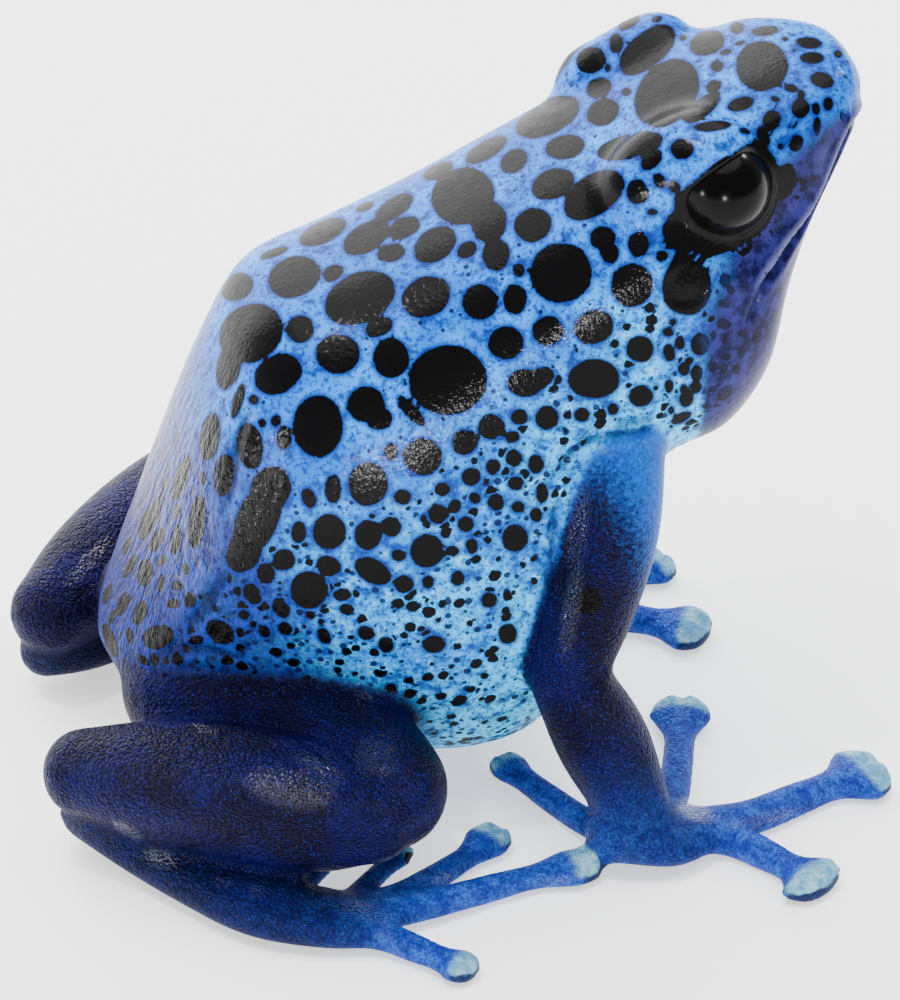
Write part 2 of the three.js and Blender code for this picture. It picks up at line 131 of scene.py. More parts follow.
LEGS = {
    "right": {
        "thigh": [
            (-9.8, -3.0, 5.2, 2.5, 2.6), (-8.0, -4.2, 4.9, 2.5, 2.5), (-5.8, -5.8, 4.6, 2.4, 2.4),
            (-4.2, -7.8, 4.5, 2.35, 2.35), (-3.35, -9.7, 4.25, 2.1, 2.4),
        ],
        "shank": [
            (-4.3, -10.7, 3.95, 1.7, 1.95), (-6.1, -10.15, 4.1, 2.3, 2.4), (-8.8, -8.7, 4.2, 2.5, 2.5),
            (-11.8, -7.0, 4.0, 2.25, 2.25), (-14.1, -5.6, 3.7, 1.65, 1.75),
        ],
        "foot": [
            (-14.0, -5.0, 1.6, 1.1, 1.2), (-12.4, -6.9, 1.1, 1.2, 1.0), (-10.6, -9.2, 0.95, 1.3, 0.95),
            (-8.6, -11.3, 0.9, 1.5, 0.95), (-6.4, -12.4, 0.8, 1.5, 0.85), (-4.9, -13.0, 0.7, 1.2, 0.7),
        ],
        "toes": [
            (((-7.8, -11.4, 0.6), (-7.0, -10.4, 0.5), (-6.3, -9.4, 0.45), (-5.8, -8.6, 0.36)), 0.45, 0.55),
            (((-6.6, -12.0, 0.65), (-5.2, -11.2, 0.55), (-3.9, -9.7, 0.45), (-2.7, -8.4, 0.38)), 0.5, 0.65),
            (((-5.8, -12.2, 0.7), (-3.4, -11.4, 0.6), (-1.0, -9.8, 0.48), (0.9, -8.2, 0.42)), 0.58, 1.0),
            (((-5.6, -12.7, 0.75), (-2.4, -12.2, 0.65), (0.8, -11.3, 0.5), (3.9, -10.7, 0.42)), 0.6, 1.05),
            (((-6.0, -12.9, 0.7), (-4.4, -13.8, 0.65), (-3.0, -15.0, 0.5), (-1.9, -16.0, 0.42)), 0.6, 0.95),
        ],
    },
    "left": {
        "thigh": [
            (-9.8, 3.0, 5.2, 2.5, 2.6), (-8.2, 5.0, 4.9, 2.5, 2.5), (-6.8, 7.2, 4.6, 2.4, 2.4),
            (-5.6, 9.6, 4.5, 2.3, 2.3), (-4.9, 11.8, 4.5, 2.0, 2.2),
        ],
        "shank": [
            (-5.5, 12.8, 4.15, 1.9, 2.2), (-7.2, 11.5, 4.05, 2.4, 2.45), (-9.5, 9.4, 3.95, 2.5, 2.5),
            (-11.8, 7.2, 3.8, 2.25, 2.25), (-13.7, 5.4, 3.6, 1.65, 1.75),
        ],
        "foot": [
            (-13.9, 5.9, 1.6, 1.1, 1.2), (-12.2, 6.6, 1.1, 1.2, 1.0), (-10.0, 7.8, 0.95, 1.3, 0.95),
            (-7.8, 9.1, 0.9, 1.5, 0.95), (-5.8, 10.3, 0.8, 1.5, 0.85), (-4.4, 11.2, 0.7, 1.2, 0.7),
        ],
        "toes": [
            (((-6.4, 8.6, 0.6), (-5.4, 7.9, 0.5), (-4.4, 7.3, 0.45), (-3.4, 6.9, 0.36)), 0.45, 0.55),
            (((-5.6, 9.6, 0.65), (-3.9, 9.0, 0.55), (-2.2, 8.3, 0.45), (-0.7, 7.7, 0.36)), 0.5, 0.65),
            (((-5.2, 10.2, 0.7), (-2.6, 10.2, 0.6), (0.0, 10.0, 0.48), (2.4, 9.5, 0.38)), 0.55, 0.8),
            (((-5.2, 10.6, 0.75), (-2.4, 11.6, 0.65), (0.6, 12.4, 0.5), (3.2, 12.8, 0.4)), 0.6, 0.85),
            (((-5.6, 10.8, 0.7), (-4.2, 12.2, 0.65), (-3.0, 13.8, 0.5), (-2.2, 15.4, 0.4)), 0.6, 0.8),
        ],
    },
}
FLESH = [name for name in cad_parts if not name.endswith("_eye")]

# The camera: where it looks, from how far, and how many pixels of the picture one millimetre takes.
CAMERA_AZIMUTH = math.radians(-12)
CAMERA_ELEVATION = math.radians(33)
CAMERA_DISTANCE = 220.0
CAMERA_TARGET = (0.9, 0.0, 10.2)
PIXELS_PER_MM = 26.5
PICTURE_WIDTH = 900
PICTURE_HEIGHT = 1000
SENSOR = 36.0

# Black spots by their place in the picture, in pixels: x, y, long radius, short radius, tilt in degrees,
# where a negative tilt climbs to the right.
CROWN_SPOTS = [
    (647, 50, 34, 17, -40), (667, 93, 38, 28, -50), (762, 66, 26, 25, 0), (707, 43, 18, 12, -20),
    (629, 22, 12, 6, -30), (616, 43, 7, 10, 0), (591, 60, 15, 13, -30), (599, 88, 13, 10, -20),
    (603, 112, 17, 13, -25), (717, 66, 7, 6, -20), (714, 86, 8, 6, -25), (737, 28, 7, 6, 0),
    (765, 31, 14, 5, -5), (809, 43, 13, 6, 5), (812, 58, 12, 6, 0), (822, 80, 12, 8, 20),
    (800, 108, 9, 10, 0), (772, 120, 9, 11, 20), (796, 143, 7, 9, 0), (741, 104, 14, 7, -15),
    (705, 20, 15, 3, 10), (657, 19, 5, 3, -20), (683, 38, 4, 3, 0), (740, 43, 6, 2, -15),
    (726, 52, 6, 3, -15), (785, 39, 3, 2, 0), (794, 50, 2, 2, 0), (608, 68, 3, 4, 0), (626, 92, 5, 4, 0),
    (838, 54, 4, 4, 0), (828, 104, 5, 7, 0), (816, 109, 4, 6, 0), (817, 127, 4, 10, 0),
    (791, 88, 7, 4, 15), (775, 99, 5, 3, 20), (801, 95, 4, 5, 0), (791, 126, 4, 3, 0),
    (781, 146, 4, 4, 0), (763, 137, 6, 12, -20), (745, 131, 6, 3, 15),
]
FACE_SPOTS = [
    (702, 108, 22, 9, -38), (712, 126, 19, 5, -5), (630, 146, 34, 12, -14), (682, 149, 12, 10, 0),
    (651, 160, 13, 8, -45), (660, 181, 6, 8, -30), (674, 187, 7, 6, 30), (652, 212, 5, 4, 0),
    (803, 185, 3, 7, 0), (813, 176, 3, 3, 0), (797, 198, 3, 3, 0), (771, 231, 3, 3, 0),
    (746, 251, 8, 4, -35), (763, 237, 3, 2, 0), (740, 267, 3, 3, 0), (725, 279, 6, 8, 0),
    (731, 290, 4, 6, -20), (724, 304, 7, 4, 20), (723, 324, 7, 6, 0), (743, 333, 5, 4, 0),
    (757, 336, 5, 8, 0), (724, 340, 3, 5, 0), (714, 335, 3, 5, 0), (742, 352, 4, 6, 0),
    (727, 357, 5, 3, 0), (713, 367, 5, 6, 0), (724, 368, 4, 5, 0), (736, 369, 5, 5, 0),
    (725, 393, 10, 6, -50), (712, 389, 4, 4, 0), (707, 406, 5, 3, 0), (681, 418, 11, 5, -25),
    (669, 353, 6, 9, -10), (680, 343, 5, 7, 0), (668, 332, 6, 5, 0), (673, 322, 4, 4, 0),
    (684, 369, 6, 7, 0), (689, 361, 5, 4, -30), (697, 373, 6, 9, 0), (696, 387, 6, 6, 0),
    (686, 399, 7, 8, 20), (684, 389, 4, 5, 0), (669, 386, 4, 7, 0), (671, 410, 3, 4, 0),
    (662, 256, 6, 6, 0),
]
# The black mask round the eye with its lobes, and the ear below; the other side mirrors it.
EYE_MASK = [
    (734, 201, 52, 41, -50), (784, 181, 12, 19, 15), (685, 231, 23, 22, 0), (719, 245, 26, 9, -12),
    (681, 256, 5, 8, 0), (755, 152, 9, 6, 20), (687, 287, 25, 28, 0),
]
EAR = (687, 287)
EAR_RADIUS = 0.95
NECK_SPOTS = [
    (565, 147, 20, 12, -10), (594, 195, 34, 20, -35), (637, 192, 11, 13, 0), (603, 238, 13, 12, 0),
    (610, 253, 9, 11, 0), (639, 244, 11, 13, 0), (632, 285, 21, 22, 0), (594, 327, 20, 17, -20),
    (640, 349, 14, 13, 0), (594, 379, 26, 20, 0), (700, 344, 9, 12, 0), (641, 396, 12, 11, 0),
    (561, 273, 31, 30, 0), (548, 331, 16, 15, 0), (543, 376, 12, 9, 0), (582, 415, 8, 7, 0),
    (613, 409, 6, 6, 0), (547, 418, 12, 12, 0),
]
BACK_SPOTS = [
    (548, 117, 34, 17, -25), (514, 161, 15, 11, -35), (553, 184, 22, 15, -20), (533, 225, 19, 17, -25),
    (463, 196, 32, 28, -20), (489, 221, 18, 21, 0), (486, 150, 23, 9, -30), (438, 171, 16, 7, -25),
    (394, 208, 22, 10, -35), (404, 228, 17, 10, -25), (366, 238, 25, 14, -30), (435, 245, 23, 16, -35),
    (467, 250, 11, 8, -30), (496, 255, 14, 16, 0), (519, 270, 6, 7, 0), (391, 253, 14, 9, -10),
    (323, 232, 25, 11, -25), (365, 207, 9, 4, -25), (274, 253, 15, 4, -20), (294, 277, 27, 20, -20),
    (333, 273, 11, 8, -30), (237, 287, 17, 13, -25), (251, 333, 33, 28, -30), (229, 366, 12, 24, 15),
    (300, 329, 14, 14, 0), (360, 298, 37, 25, -25), (379, 327, 15, 9, -25), (426, 297, 25, 20, -25),
    (480, 302, 18, 18, 0), (515, 299, 12, 15, 0),
]
FLANK_SPOTS = [
    (338, 354, 22, 20, 0), (391, 358, 18, 20, 0), (278, 374, 25, 19, -30), (318, 426, 25, 31, 0),
    (366, 404, 19, 18, 0), (379, 419, 13, 11, 0), (448, 380, 39, 35, 0), (506, 343, 18, 17, 0),
    (526, 383, 19, 14, 0), (411, 411, 21, 6, 48), (250, 446, 13, 23, -8), (284, 438, 8, 12, 0),
    (270, 491, 25, 20, -66), (257, 520, 34, 21, -66), (244, 551, 23, 17, -66), (368, 484, 20, 22, 0),
    (333, 489, 8, 15, 0), (391, 452, 7, 9, 0), (309, 498, 7, 11, -20), (329, 532, 17, 18, 0),
    (299, 532, 8, 11, 0), (368, 535, 14, 15, 0), (391, 527, 10, 10, 0), (284, 560, 11, 11, 0),
    (329, 566, 13, 10, 20), (266, 573, 9, 11, -20), (309, 590, 19, 19, 0), (373, 571, 20, 12, 30),
    (404, 584, 10, 9, 0), (252, 594, 8, 12, -30), (281, 608, 8, 11, -30), (220, 632, 16, 11, 35),
    (423, 457, 19, 19, 0), (465, 442, 13, 13, 0), (492, 427, 13, 13, 0), (519, 417, 9, 8, 0),
    (512, 437, 8, 6, 0),
]
BELLY_SPOTS = [
    (514, 458, 8, 9, 0), (536, 464, 8, 10, 0), (493, 467, 7, 8, 0), (471, 477, 10, 9, 0),
    (516, 483, 8, 7, 0), (542, 493, 6, 10, 0), (443, 489, 8, 7, 0), (475, 498, 6, 6, 0),
    (496, 502, 8, 9, 0), (518, 507, 7, 6, 0), (403, 497, 9, 7, 0), (438, 514, 11, 10, 0),
    (455, 506, 6, 7, 0), (536, 515, 6, 7, 0), (466, 524, 8, 8, 0), (515, 538, 13, 14, 0),
    (427, 551, 17, 17, 0), (398, 555, 7, 6, 30), (452, 551, 7, 5, 0), (472, 546, 6, 8, 0),
    (428, 582, 6, 7, 0), (458, 578, 7, 8, 0), (489, 600, 8, 8, 0), (508, 634, 9, 10, 0),
    (434, 644, 12, 9, 0), (366, 633, 9, 7, 20), (386, 645, 8, 8, 0), (324, 636, 6, 9, -35),
    (342, 595, 9, 6, 0), (285, 629, 8, 6, 30),
]
RUMP_SPOTS = [
    (210, 437, 24, 10, -80), (224, 475, 22, 10, -82), (181, 478, 24, 7, -72), (149, 520, 22, 8, -64),
    (197, 522, 28, 9, -84), (157, 540, 13, 6, -62), (176, 540, 15, 6, -80), (127, 546, 10, 4, -68),
    (130, 566, 14, 5, -62), (145, 573, 14, 8, -80), (107, 594, 12, 4, -70), (123, 604, 13, 6, -70),
    (140, 613, 13, 7, -72), (158, 637, 17, 12, -15), (110, 640, 18, 6, 70), (130, 636, 9, 4, 80),
    (203, 478, 7, 3, 85), (177, 511, 7, 4, -80), (161, 583, 9, 4, -80), (177, 586, 6, 5, 0),
    (186, 569, 7, 4, 80), (161, 561, 7, 4, -50), (244, 615, 6, 5, 0), (238, 401, 18, 5, -72),
    (165, 483, 9, 3, -78), (254, 400, 5, 5, 0), (262, 423, 4, 4, 0), (276, 421, 5, 6, 0),
    (173, 604, 7, 5, 0), (190, 600, 6, 8, 0), (160, 500, 9, 3, -70), (264, 631, 7, 5, 40),
    (112, 617, 8, 3, -75), (196, 640, 8, 5, 0), (143, 660, 9, 4, 40),
]
LIMB_SPOTS = [(589, 601, 13, 14, 0)]
SEEN_SPOTS = CROWN_SPOTS + FACE_SPOTS + NECK_SPOTS + BACK_SPOTS
SEEN_SPOTS += FLANK_SPOTS + BELLY_SPOTS + RUMP_SPOTS + LIMB_SPOTS

# The line of the mouth, in the same way as the violet's edge below.
MOUTH_ALONG = (0.0, 0.6, 1.15, 1.4, 1.55, 2.0, 2.45, 3.16, 3.91, 4.13, 4.31)
MOUTH_TURN = (0.5, 0.49, 0.494, 0.533, 0.58, 0.6, 0.589, 0.539, 0.494, 0.506, 0.522)
MOUTH_DEPTH = 0.3
# Where the dark violet of the lower face begins: along the trunk, and its turn from the back, in pi.
THROAT_ALONG = (0.88, 1.45, 2.65, 3.43, 4.13, 4.68, 5.06, 5.28, 5.46, 5.6)
THROAT_TURN = (0.40, 0.38, 0.385, 0.4, 0.4, 0.44, 0.48, 0.561, 0.728, 1.2)
# Creases by their course in the picture, each with its depth and width in millimetres.
CREASES = [
    ([(556, 492), (562, 466), (578, 447), (604, 436), (640, 430), (672, 421)], 0.16, 0.16),
    ([(600, 430), (630, 423), (662, 416)], 0.07, 0.1),
    ([(612, 660), (596, 688), (566, 700)], 0.08, 0.2),
    ([(632, 846), (645, 834), (665, 814)], 0.1, 0.16),
    ([(562, 478), (554, 520), (551, 560), (541, 610), (533, 650), (530, 685)], 0.16, 0.16),
    ([(228, 565), (216, 588), (200, 613), (180, 630)], 0.2, 0.22),
    ([(252, 400), (238, 440), (232, 480), (222, 520)], 0.1, 0.25),
    ([(150, 655), (180, 648), (215, 652), (250, 664)], 0.15, 0.2),
    ([(290, 735), (320, 752), (340, 772), (348, 795)], 0.15, 0.18),
]
# Where mucus lies thickest, by place in the picture as with the spots.
WET_PATCHES = [
    (377, 757, 21, 20, 0), (321, 770, 26, 9, 28), (290, 788, 42, 18, 12), (204, 728, 14, 5, 20),
    (364, 695, 12, 4, 25), (128, 831, 16, 5, 30), (160, 858, 16, 8, 20), (223, 881, 9, 7, 20),
    (257, 892, 10, 6, 30), (366, 913, 28, 9, 15), (386, 933, 12, 5, 25), (433, 879, 18, 6, -12),
    (578, 530, 9, 42, 8), (571, 610, 9, 46, 8), (697, 812, 22, 9, 25), (762, 818, 34, 6, -12),
    (819, 873, 16, 6, 35), (560, 878, 22, 7, -12), (88, 562, 30, 7, -48),
]

VOXEL = 0.232
FOLD_ROUNDS = 8
EYE_FOLD_ROUNDS = 50
EYE_FOLDS = (4.6, 3.0)
# Where the head's mesh is split finer, twice: how near an eye's centre, a lip and a nostril.
FINE_HEAD = ((3.0, 0.6, 0.6), (2.3, 0.0, 0.45))
BODY_RINGS_PER_SECTION = 6
BODY_SIDES = 96
LIMB_RINGS_PER_STATION = 8
LIMB_SIDES = 28
# How far limb, hand, tip, arm and the painted shade by the thighs each run out over the skin.
LABEL_ROUNDS = (5, 40, 6, 8, 45)
SEED = 11
STRETCH_LIMIT = 2.4
RUMP_SLOPE = 0.48
RELIEF = 0.07
FINE_SPOT = 11
FINE_REACH = 0.42
SCUTE_GROOVE = 0.2
CORNEA_HEIGHT = 0.06
CORNEA_EDGE = 0.45
PUPIL_EDGE = 0.8
IRIS_FIBRE = 0.1

# Skin colours; the second of a pair is the paler mottling.
BACK_BLUE = ("#0064c8", "#148af0")
FLANK_BLUE = ("#0074cc", "#08a4ec")
# Painted light: the underside is painted paler, as if more light fell on it.
UNDERSIDE_PAINTED_LIGHT = "#38ccff"
PALE_BLUE = "#78dcff"
RUMP_BLUE = ("#080c44", "#2a3ca0")
RUMP_FOLDS = "#0a0c3c"
RUMP_SHADE = "#0c0f4c"
CREASE_SHADE = "#08143c"
THROAT_BLUE = ("#09092f", "#242464")
ARM_BLUE = ("#0a3c9c", "#1058b8")
# Painted shade on the body where the thighs join it.
GROIN_PAINTED_SHADE = "#0a0a34"
# Bright blue grains on the limbs: partly blue speckle, partly painted sparkle.
GRAIN_BLUE_AND_PAINTED_SPARK = "#1c2c90"
DEEP_BLUE = "#0c2074"
# A painted sheen, pale grey, along the upper lip.
LIP_PAINTED_SHEEN = "#6a6c98"
SPECK_BLUE = "#0c1038"
SPOT_BLACK = "#040304"
NAVY = ("#050422", "#0a0640")
NAVY_GAPS = "#030308"
PAW_BLUE = ("#1a3498", "#2a5cc0")
PAW_GAPS = "#0c1140"
PAD_AQUA = ("#5090b4", "#90c0d0")
PAD_EDGE = "#141c30"

WORLD_LIGHT = 0.68
TABLE_GLOW = 0.9
HALF_FLOOR = 2.0
# Round lights that look at the frog, two large and soft and four small for the glints: place and width in
# metres, and watts.
LIGHTS_AIM = (0, 0, 0.012)
STUDIO_LIGHTS = [
    ("overhead", (0.0, 0.12, 0.6), 0.9, 8.3),
    ("behind", (-0.2, 0.65, 0.26), 0.9, 13.0),
    ("front_sparkle", (-0.1, -0.75, 0.06), 0.09, 2.8),
    ("side_sparkle", (-0.74, -0.33, 0.07), 0.07, 2.4),
    ("top_sparkle", (-0.2, -0.03, 0.75), 0.05, 2.4),
    ("far_sparkle", (0.52, 0.38, 0.46), 0.05, 1.4),
]
DIGIT_THINNEST = 0.38
DIGIT_TIP = 0.3
DIGIT_SWELL = 0.2
SLEEVE_SLANT = 0.085
POOL_SHEEN = 1.7


def smoothstep(low, high, x):
    t = np.clip((x - low) / (high - low), 0.0, 1.0)
    return t * t * (3 - 2 * t)


def hump(x, middle, width):
    """A smooth hump of height 1 that fades out over about two widths to each side."""
    return np.exp(-(((x - middle) / width) ** 2))


def unit(v):
    v = np.asarray(v, float)
    return v / np.maximum(np.linalg.norm(v, axis=-1, keepdims=True), 1e-12)


def spline(points, t):
    """Points at t (0 to 1) of the Catmull-Rom curve that the solids are drawn with."""
    p = np.asarray(points, float)
    ends = np.vstack([2 * p[0] - p[1], p, 2 * p[-1] - p[-2]])
    u = np.clip(t, 0, 1) * (len(p) - 1)
    i = np.minimum(u.astype(int), len(p) - 2)
    w = (u - i)[:, None]
    before, start, end, after = ends[i], ends[i + 1], ends[i + 2], ends[i + 3]
    leave, arrive = (end - before) / 2, (after - start) / 2
    square, cube = 3 * (end - start) - 2 * leave - arrive, 2 * (start - end) + leave + arrive
    return start + leave * w + square * w**2 + cube * w**3


def closed_shell(rings, first, last):
    """Vertices and faces of a loft of rings, closed at both ends on a point."""
    count, sides = rings.shape[:2]
    at = 1 + np.arange(count * sides).reshape(count, sides)
    nxt = np.roll(at, -1, axis=1)
    walls = np.stack([at[:-1], nxt[:-1], nxt[1:], at[1:]], axis=-1).reshape(-1, 4)
    end = 1 + count * sides
    caps = [(0, b, a) for a, b in zip(at[0], nxt[0])] + [(end, a, b) for a, b in zip(at[-1], nxt[-1])]
    return np.vstack([[first], rings.reshape(-1, 3), [last]]), [tuple(f) for f in walls.tolist()] + caps


def trunk_surface(t, angle, outward=0.0):
    """The trunk's surface at t along it, turned by angle from the back (0) to the belly (pi)."""
    top = spline([(s[0][0], 0, s[0][1]) for s in SECTIONS], t)
    under = spline([(s[1][0], 0, s[1][1]) for s in SECTIONS], t)
    half, widest, above, below = spline([s[2:] for s in SECTIONS], t).T
    down = unit(under - top)
    top, under = top - down * outward, under + down * outward
    c, s = np.cos(angle), np.sin(angle)
    exponent = 2 / np.where(c > 0, above, below)
    middle = top + (under - top) * widest[:, None]
    point = middle + (np.where(c[:, None] > 0, top, under) - middle) * (np.abs(c) ** exponent)[:, None]
    point[:, 1] = (half + outward) * np.sign(s) * np.abs(s) ** exponent
    return point


def trunk_shell():
    count = LAST_SECTION * BODY_RINGS_PER_SECTION + 1
    t = np.repeat(np.linspace(0, 1, count), BODY_SIDES)
    angle = np.tile(np.arange(BODY_SIDES) / BODY_SIDES * 2 * math.pi, count)
    rings = trunk_surface(t, angle).reshape(count, BODY_SIDES, 3)
    snout, vent = rings[0].mean(0) + (0.3, 0, 0), rings[-1].mean(0) - (0.5, 0, 0)
    return closed_shell(rings, snout, vent)


def limb_shell(stations, up=(0, 0, 1), sides=LIMB_SIDES, steps=LIMB_RINGS_PER_STATION):
    """A round-ended limb through its stations."""
    stations = np.asarray(stations, float)
    count = (len(stations) - 1) * steps + 1
    t = np.linspace(0, 1, count)
    at = spline(stations[:, :3], t)
    wide, thick = spline(stations[:, 3:], t).T
    ahead, behind = (spline(stations[:, :3], np.clip(t + step, 0, 1)) for step in (1e-4, -1e-4))
    tangent = unit(ahead - behind)
    side = unit(np.cross(np.broadcast_to(up, tangent.shape), tangent))
    normal = np.cross(tangent, side)
    dome = np.linspace(0, math.pi / 2, 6)[1:-1]
    reach = np.minimum(wide, thick)
    order = [(0, math.cos(a), -math.sin(a)) for a in dome[::-1]] + [(i, 1, 0) for i in range(count)]
    order += [(count - 1, math.cos(a), math.sin(a)) for a in dome]
    turn = np.arange(sides) / sides * 2 * math.pi
    rings = np.array([
        at[i] + tangent[i] * along * reach[i] + side[i] * (wide[i] * scale * np.cos(turn))[:, None]
        + normal[i] * (thick[i] * scale * np.sin(turn))[:, None]
        for i, scale, along in order
    ])
    return closed_shell(rings, at[0] - tangent[0] * reach[0], at[-1] + tangent[-1] * reach[-1])


def digit_stations(path, thick, disc):
    """A finger or toe: a slim stalk that widens to a flat disc at its tip."""
    profile = [(0, 1.25), (0.3, 1.0), (0.55, 0.9), (0.75, 0.95), (0.85, 0), (0.92, 1), (1, 0.85)]
    stations = []
    for i, (t, scale) in enumerate(profile):
        wide = thick * scale if i < 4 else (thick + disc) / 2 if i == 4 else disc * scale
        stalk = max(DIGIT_THINNEST, thick * (1 if i < 3 else 0.8))
        height = stalk if i < 5 else DIGIT_TIP + DIGIT_SWELL * disc
        stations.append((*spline(path, np.array([t]))[0], wide, height))
    return stations


def ball_shell(centre, radii, pitch=0.0):
    """An egg-shaped ball, tipped by pitch about the Y axis."""
    sides, rings = 32, 20
    lat = (np.arange(rings) + 1) / (rings + 1) * math.pi
    turn = np.arange(sides) / sides * 2 * math.pi
    shape = np.stack([
        np.cos(lat)[:, None] * np.ones(sides),
        np.sin(lat)[:, None] * np.cos(turn),
        np.sin(lat)[:, None] * np.sin(turn),
    ], axis=-1)
    c, s = math.cos(pitch), math.sin(pitch)
    tip = np.array([[c, 0, s], [0, 1, 0], [-s, 0, c]])
    place = lambda p: (np.asarray(p) * radii) @ tip.T + centre
    return closed_shell(place(shape), place((1, 0, 0)), place((-1, 0, 0)))


class Skin:
    """The skin's vertices and edges as arrays, in millimetres, while it is being shaped."""

    def __init__(self, mesh):
        self.mesh = mesh
        self.read()

    def read(self):
        n = len(self.mesh.vertices)
        self.at = np.empty(n * 3)
        self.mesh.vertices.foreach_get("co", self.at)
        self.at = self.at.reshape(-1, 3)
        edges = np.empty(len(self.mesh.edges) * 2, np.int64)
        self.mesh.edges.foreach_get("vertices", edges)
        a, b = edges.reshape(-1, 2).T
        self.start, self.end = np.concatenate([a, b]), np.concatenate([b, a])
        self.count = np.bincount(self.start, minlength=n)[:, None]

    def write(self):
        self.mesh.vertices.foreach_set("co", self.at.ravel())
        self.mesh.update()

    def normals(self):
        self.write()
        out = np.empty(len(self.at) * 3, np.float32)
        self.mesh.vertex_normals.foreach_get("vector", out)
        return out.reshape(-1, 3).astype(float)

    def mean(self, values):
        """The mean of each vertex's neighbours."""
        values = values.reshape(len(self.at), -1)
        total = [np.bincount(self.start, column[self.end], len(self.at)) for column in values.T]
        return np.stack(total, 1) / np.maximum(self.count, 1)

    def relax(self, weight, rounds, fill_only=False):
        """Moves each vertex towards its neighbours' mean; fill_only moves it outwards but not inwards."""
        for step in range(rounds):
            if fill_only and step % 3 == 0:
                normal = self.normals()
            move = self.mean(self.at) - self.at
            if fill_only:
                out = (move * normal).sum(1, keepdims=True)
                move = move - normal * np.minimum(out, 0)
            self.at += move * weight

    def surface(self):
        faces = [tuple(p.vertices) for p in self.mesh.polygons]
        return BVHTree.FromPolygons([tuple(p) for p in self.at], faces)

    def refine(self, chosen):
        """Splits the faces whose corners are all chosen, each into four."""
        self.write()
        bm = bmesh.new()
        bm.from_mesh(self.mesh)
        edges = [e for e in bm.edges if chosen[e.verts[0].index] and chosen[e.verts[1].index]]
        bmesh.ops.subdivide_edges(bm, edges=edges, cuts=1, use_grid_fill=True, smooth=0.0)
        bm.to_mesh(self.mesh)
        bm.free()
        self.read()

    def soften(self, values, rounds):
        """Values spread over the skin, halfway to their neighbours' mean in each round."""
        for _ in range(rounds):
            values = 0.5 * values + 0.5 * self.mean(values)[:, 0]
        return values


def nearest(points, targets):
    """Distance from each target to the nearest of points, and which one it is."""
    tree = KDTree(len(points))
    for i, p in enumerate(points):
        tree.insert(p, i)
    tree.balance()
    found = [tree.find(t) for t in targets]
    return np.array([f[2] for f in found]), np.array([f[1] for f in found])


# The camera's own axes, with back pointing from the frog to the camera.
back = Vector((
    math.sin(CAMERA_AZIMUTH) * math.cos(CAMERA_ELEVATION),
    -math.cos(CAMERA_AZIMUTH) * math.cos(CAMERA_ELEVATION),
    math.sin(CAMERA_ELEVATION),
))
lens_at = Vector(CAMERA_TARGET) + back * CAMERA_DISTANCE
rightward = (-back).cross(Vector((0, 0, 1))).normalized()
upward = rightward.cross(-back)
FOCAL_PIXELS = PIXELS_PER_MM * CAMERA_DISTANCE


def sight(x, y):
    """The direction in which the camera sees a pixel."""
    across, up = x - PICTURE_WIDTH / 2, PICTURE_HEIGHT / 2 - y
    return (-back * FOCAL_PIXELS + rightward * across + upward * up).normalized()


def in_picture(points):
    """The pixels at which the camera sees points."""
    away = points - np.array(lens_at)
    scale = FOCAL_PIXELS / -(away @ np.array(back))
    across, up = away @ np.array(rightward) * scale, away @ np.array(upward) * scale
    return PICTURE_WIDTH / 2 + across, PICTURE_HEIGHT / 2 - up


def radii_away(points, x, y, long_radius, short_radius, tilt):
    """How far points lie in the picture from the middle of an ellipse there, counted in its radii."""
    picture_x, picture_y = in_picture(points)
    dx, dy = picture_x - x, picture_y - y
    c, s = math.cos(math.radians(tilt)), math.sin(math.radians(tilt))
    return np.hypot((dx * c + dy * s) / long_radius, (dy * c - dx * s) / short_radius)


# The flesh as overlapping lofts, each with the name of its part.
lofts = [("trunk", *trunk_shell())]
for side, sign in SIDES.items():
    brow_at, lids_at = np.array(BROW_AT) * (1, sign, 1), np.array(EYE_AT) * (1, sign, 1)
    lofts.append((f"{side}_brow", *ball_shell(brow_at, BROW_RADII, BROW_PITCH)))
    lofts.append((f"{side}_lids", *ball_shell(lids_at, (LID_MOUND,) * 3)))
    for part in ("upper_arm", "forearm"):
        lofts.append((f"{side}_{part}", *limb_shell(ARMS[side][part], up=(1, 0, 0))))
    lofts.append((f"{side}_hand", *limb_shell(ARMS[side]["hand"])))
    for part in ("thigh", "shank", "foot"):
        lofts.append((f"{side}_{part}", *limb_shell(LEGS[side][part])))
    for digit in ARMS[side]["fingers"] + LEGS[side]["toes"]:
        lofts.append((f"{side}_digit", *limb_shell(digit_stations(*digit), sides=20, steps=5)))

points, faces, first = [], [], 0
for _, at, polygons in lofts:
    points.append(at)
    faces += [tuple(i + first for i in f) for f in polygons]
    first += len(at)
rough = bpy.data.meshes.new("rough_flesh")
rough.from_pydata(np.vstack(points).tolist(), [], faces)
rough_object = bpy.data.objects.new("rough_flesh", rough)
bpy.context.scene.collection.objects.link(rough_object)
fuse = rough_object.modifiers.new("fuse", "REMESH")
fuse.mode = "VOXEL"
fuse.voxel_size = VOXEL
mesh = bpy.data.meshes.new_from_object(rough_object.evaluated_get(bpy.context.evaluated_depsgraph_get()))
bpy.data.objects.remove(rough_object)

skin = Skin(mesh)

# The eyes' own axes.
facing = {side: unit(np.array(EYE_FACING) * (1, sign, 1)) for side, sign in SIDES.items()}
lid_way = {side: np.array(UPPER_LID_WAY) * (1, sign, 1) for side, sign in SIDES.items()}
eye_at = {side: np.array(EYE_AT) * (1, sign, 1) for side, sign in SIDES.items()}


def from_eyes():
    """Each vertex's distance from the nearer eye's centre."""
    return np.minimum(*[np.linalg.norm(skin.at - eye_at[side], axis=1) for side in eye_at])


# The creases between joined forms fill to soft folds, widest round the eyes.
skin.relax(0.5, FOLD_ROUNDS, fill_only=True)
skin.relax(0.5 * smoothstep(*EYE_FOLDS, from_eyes())[:, None], EYE_FOLD_ROUNDS, fill_only=True)
skin.relax(0.5, 2)

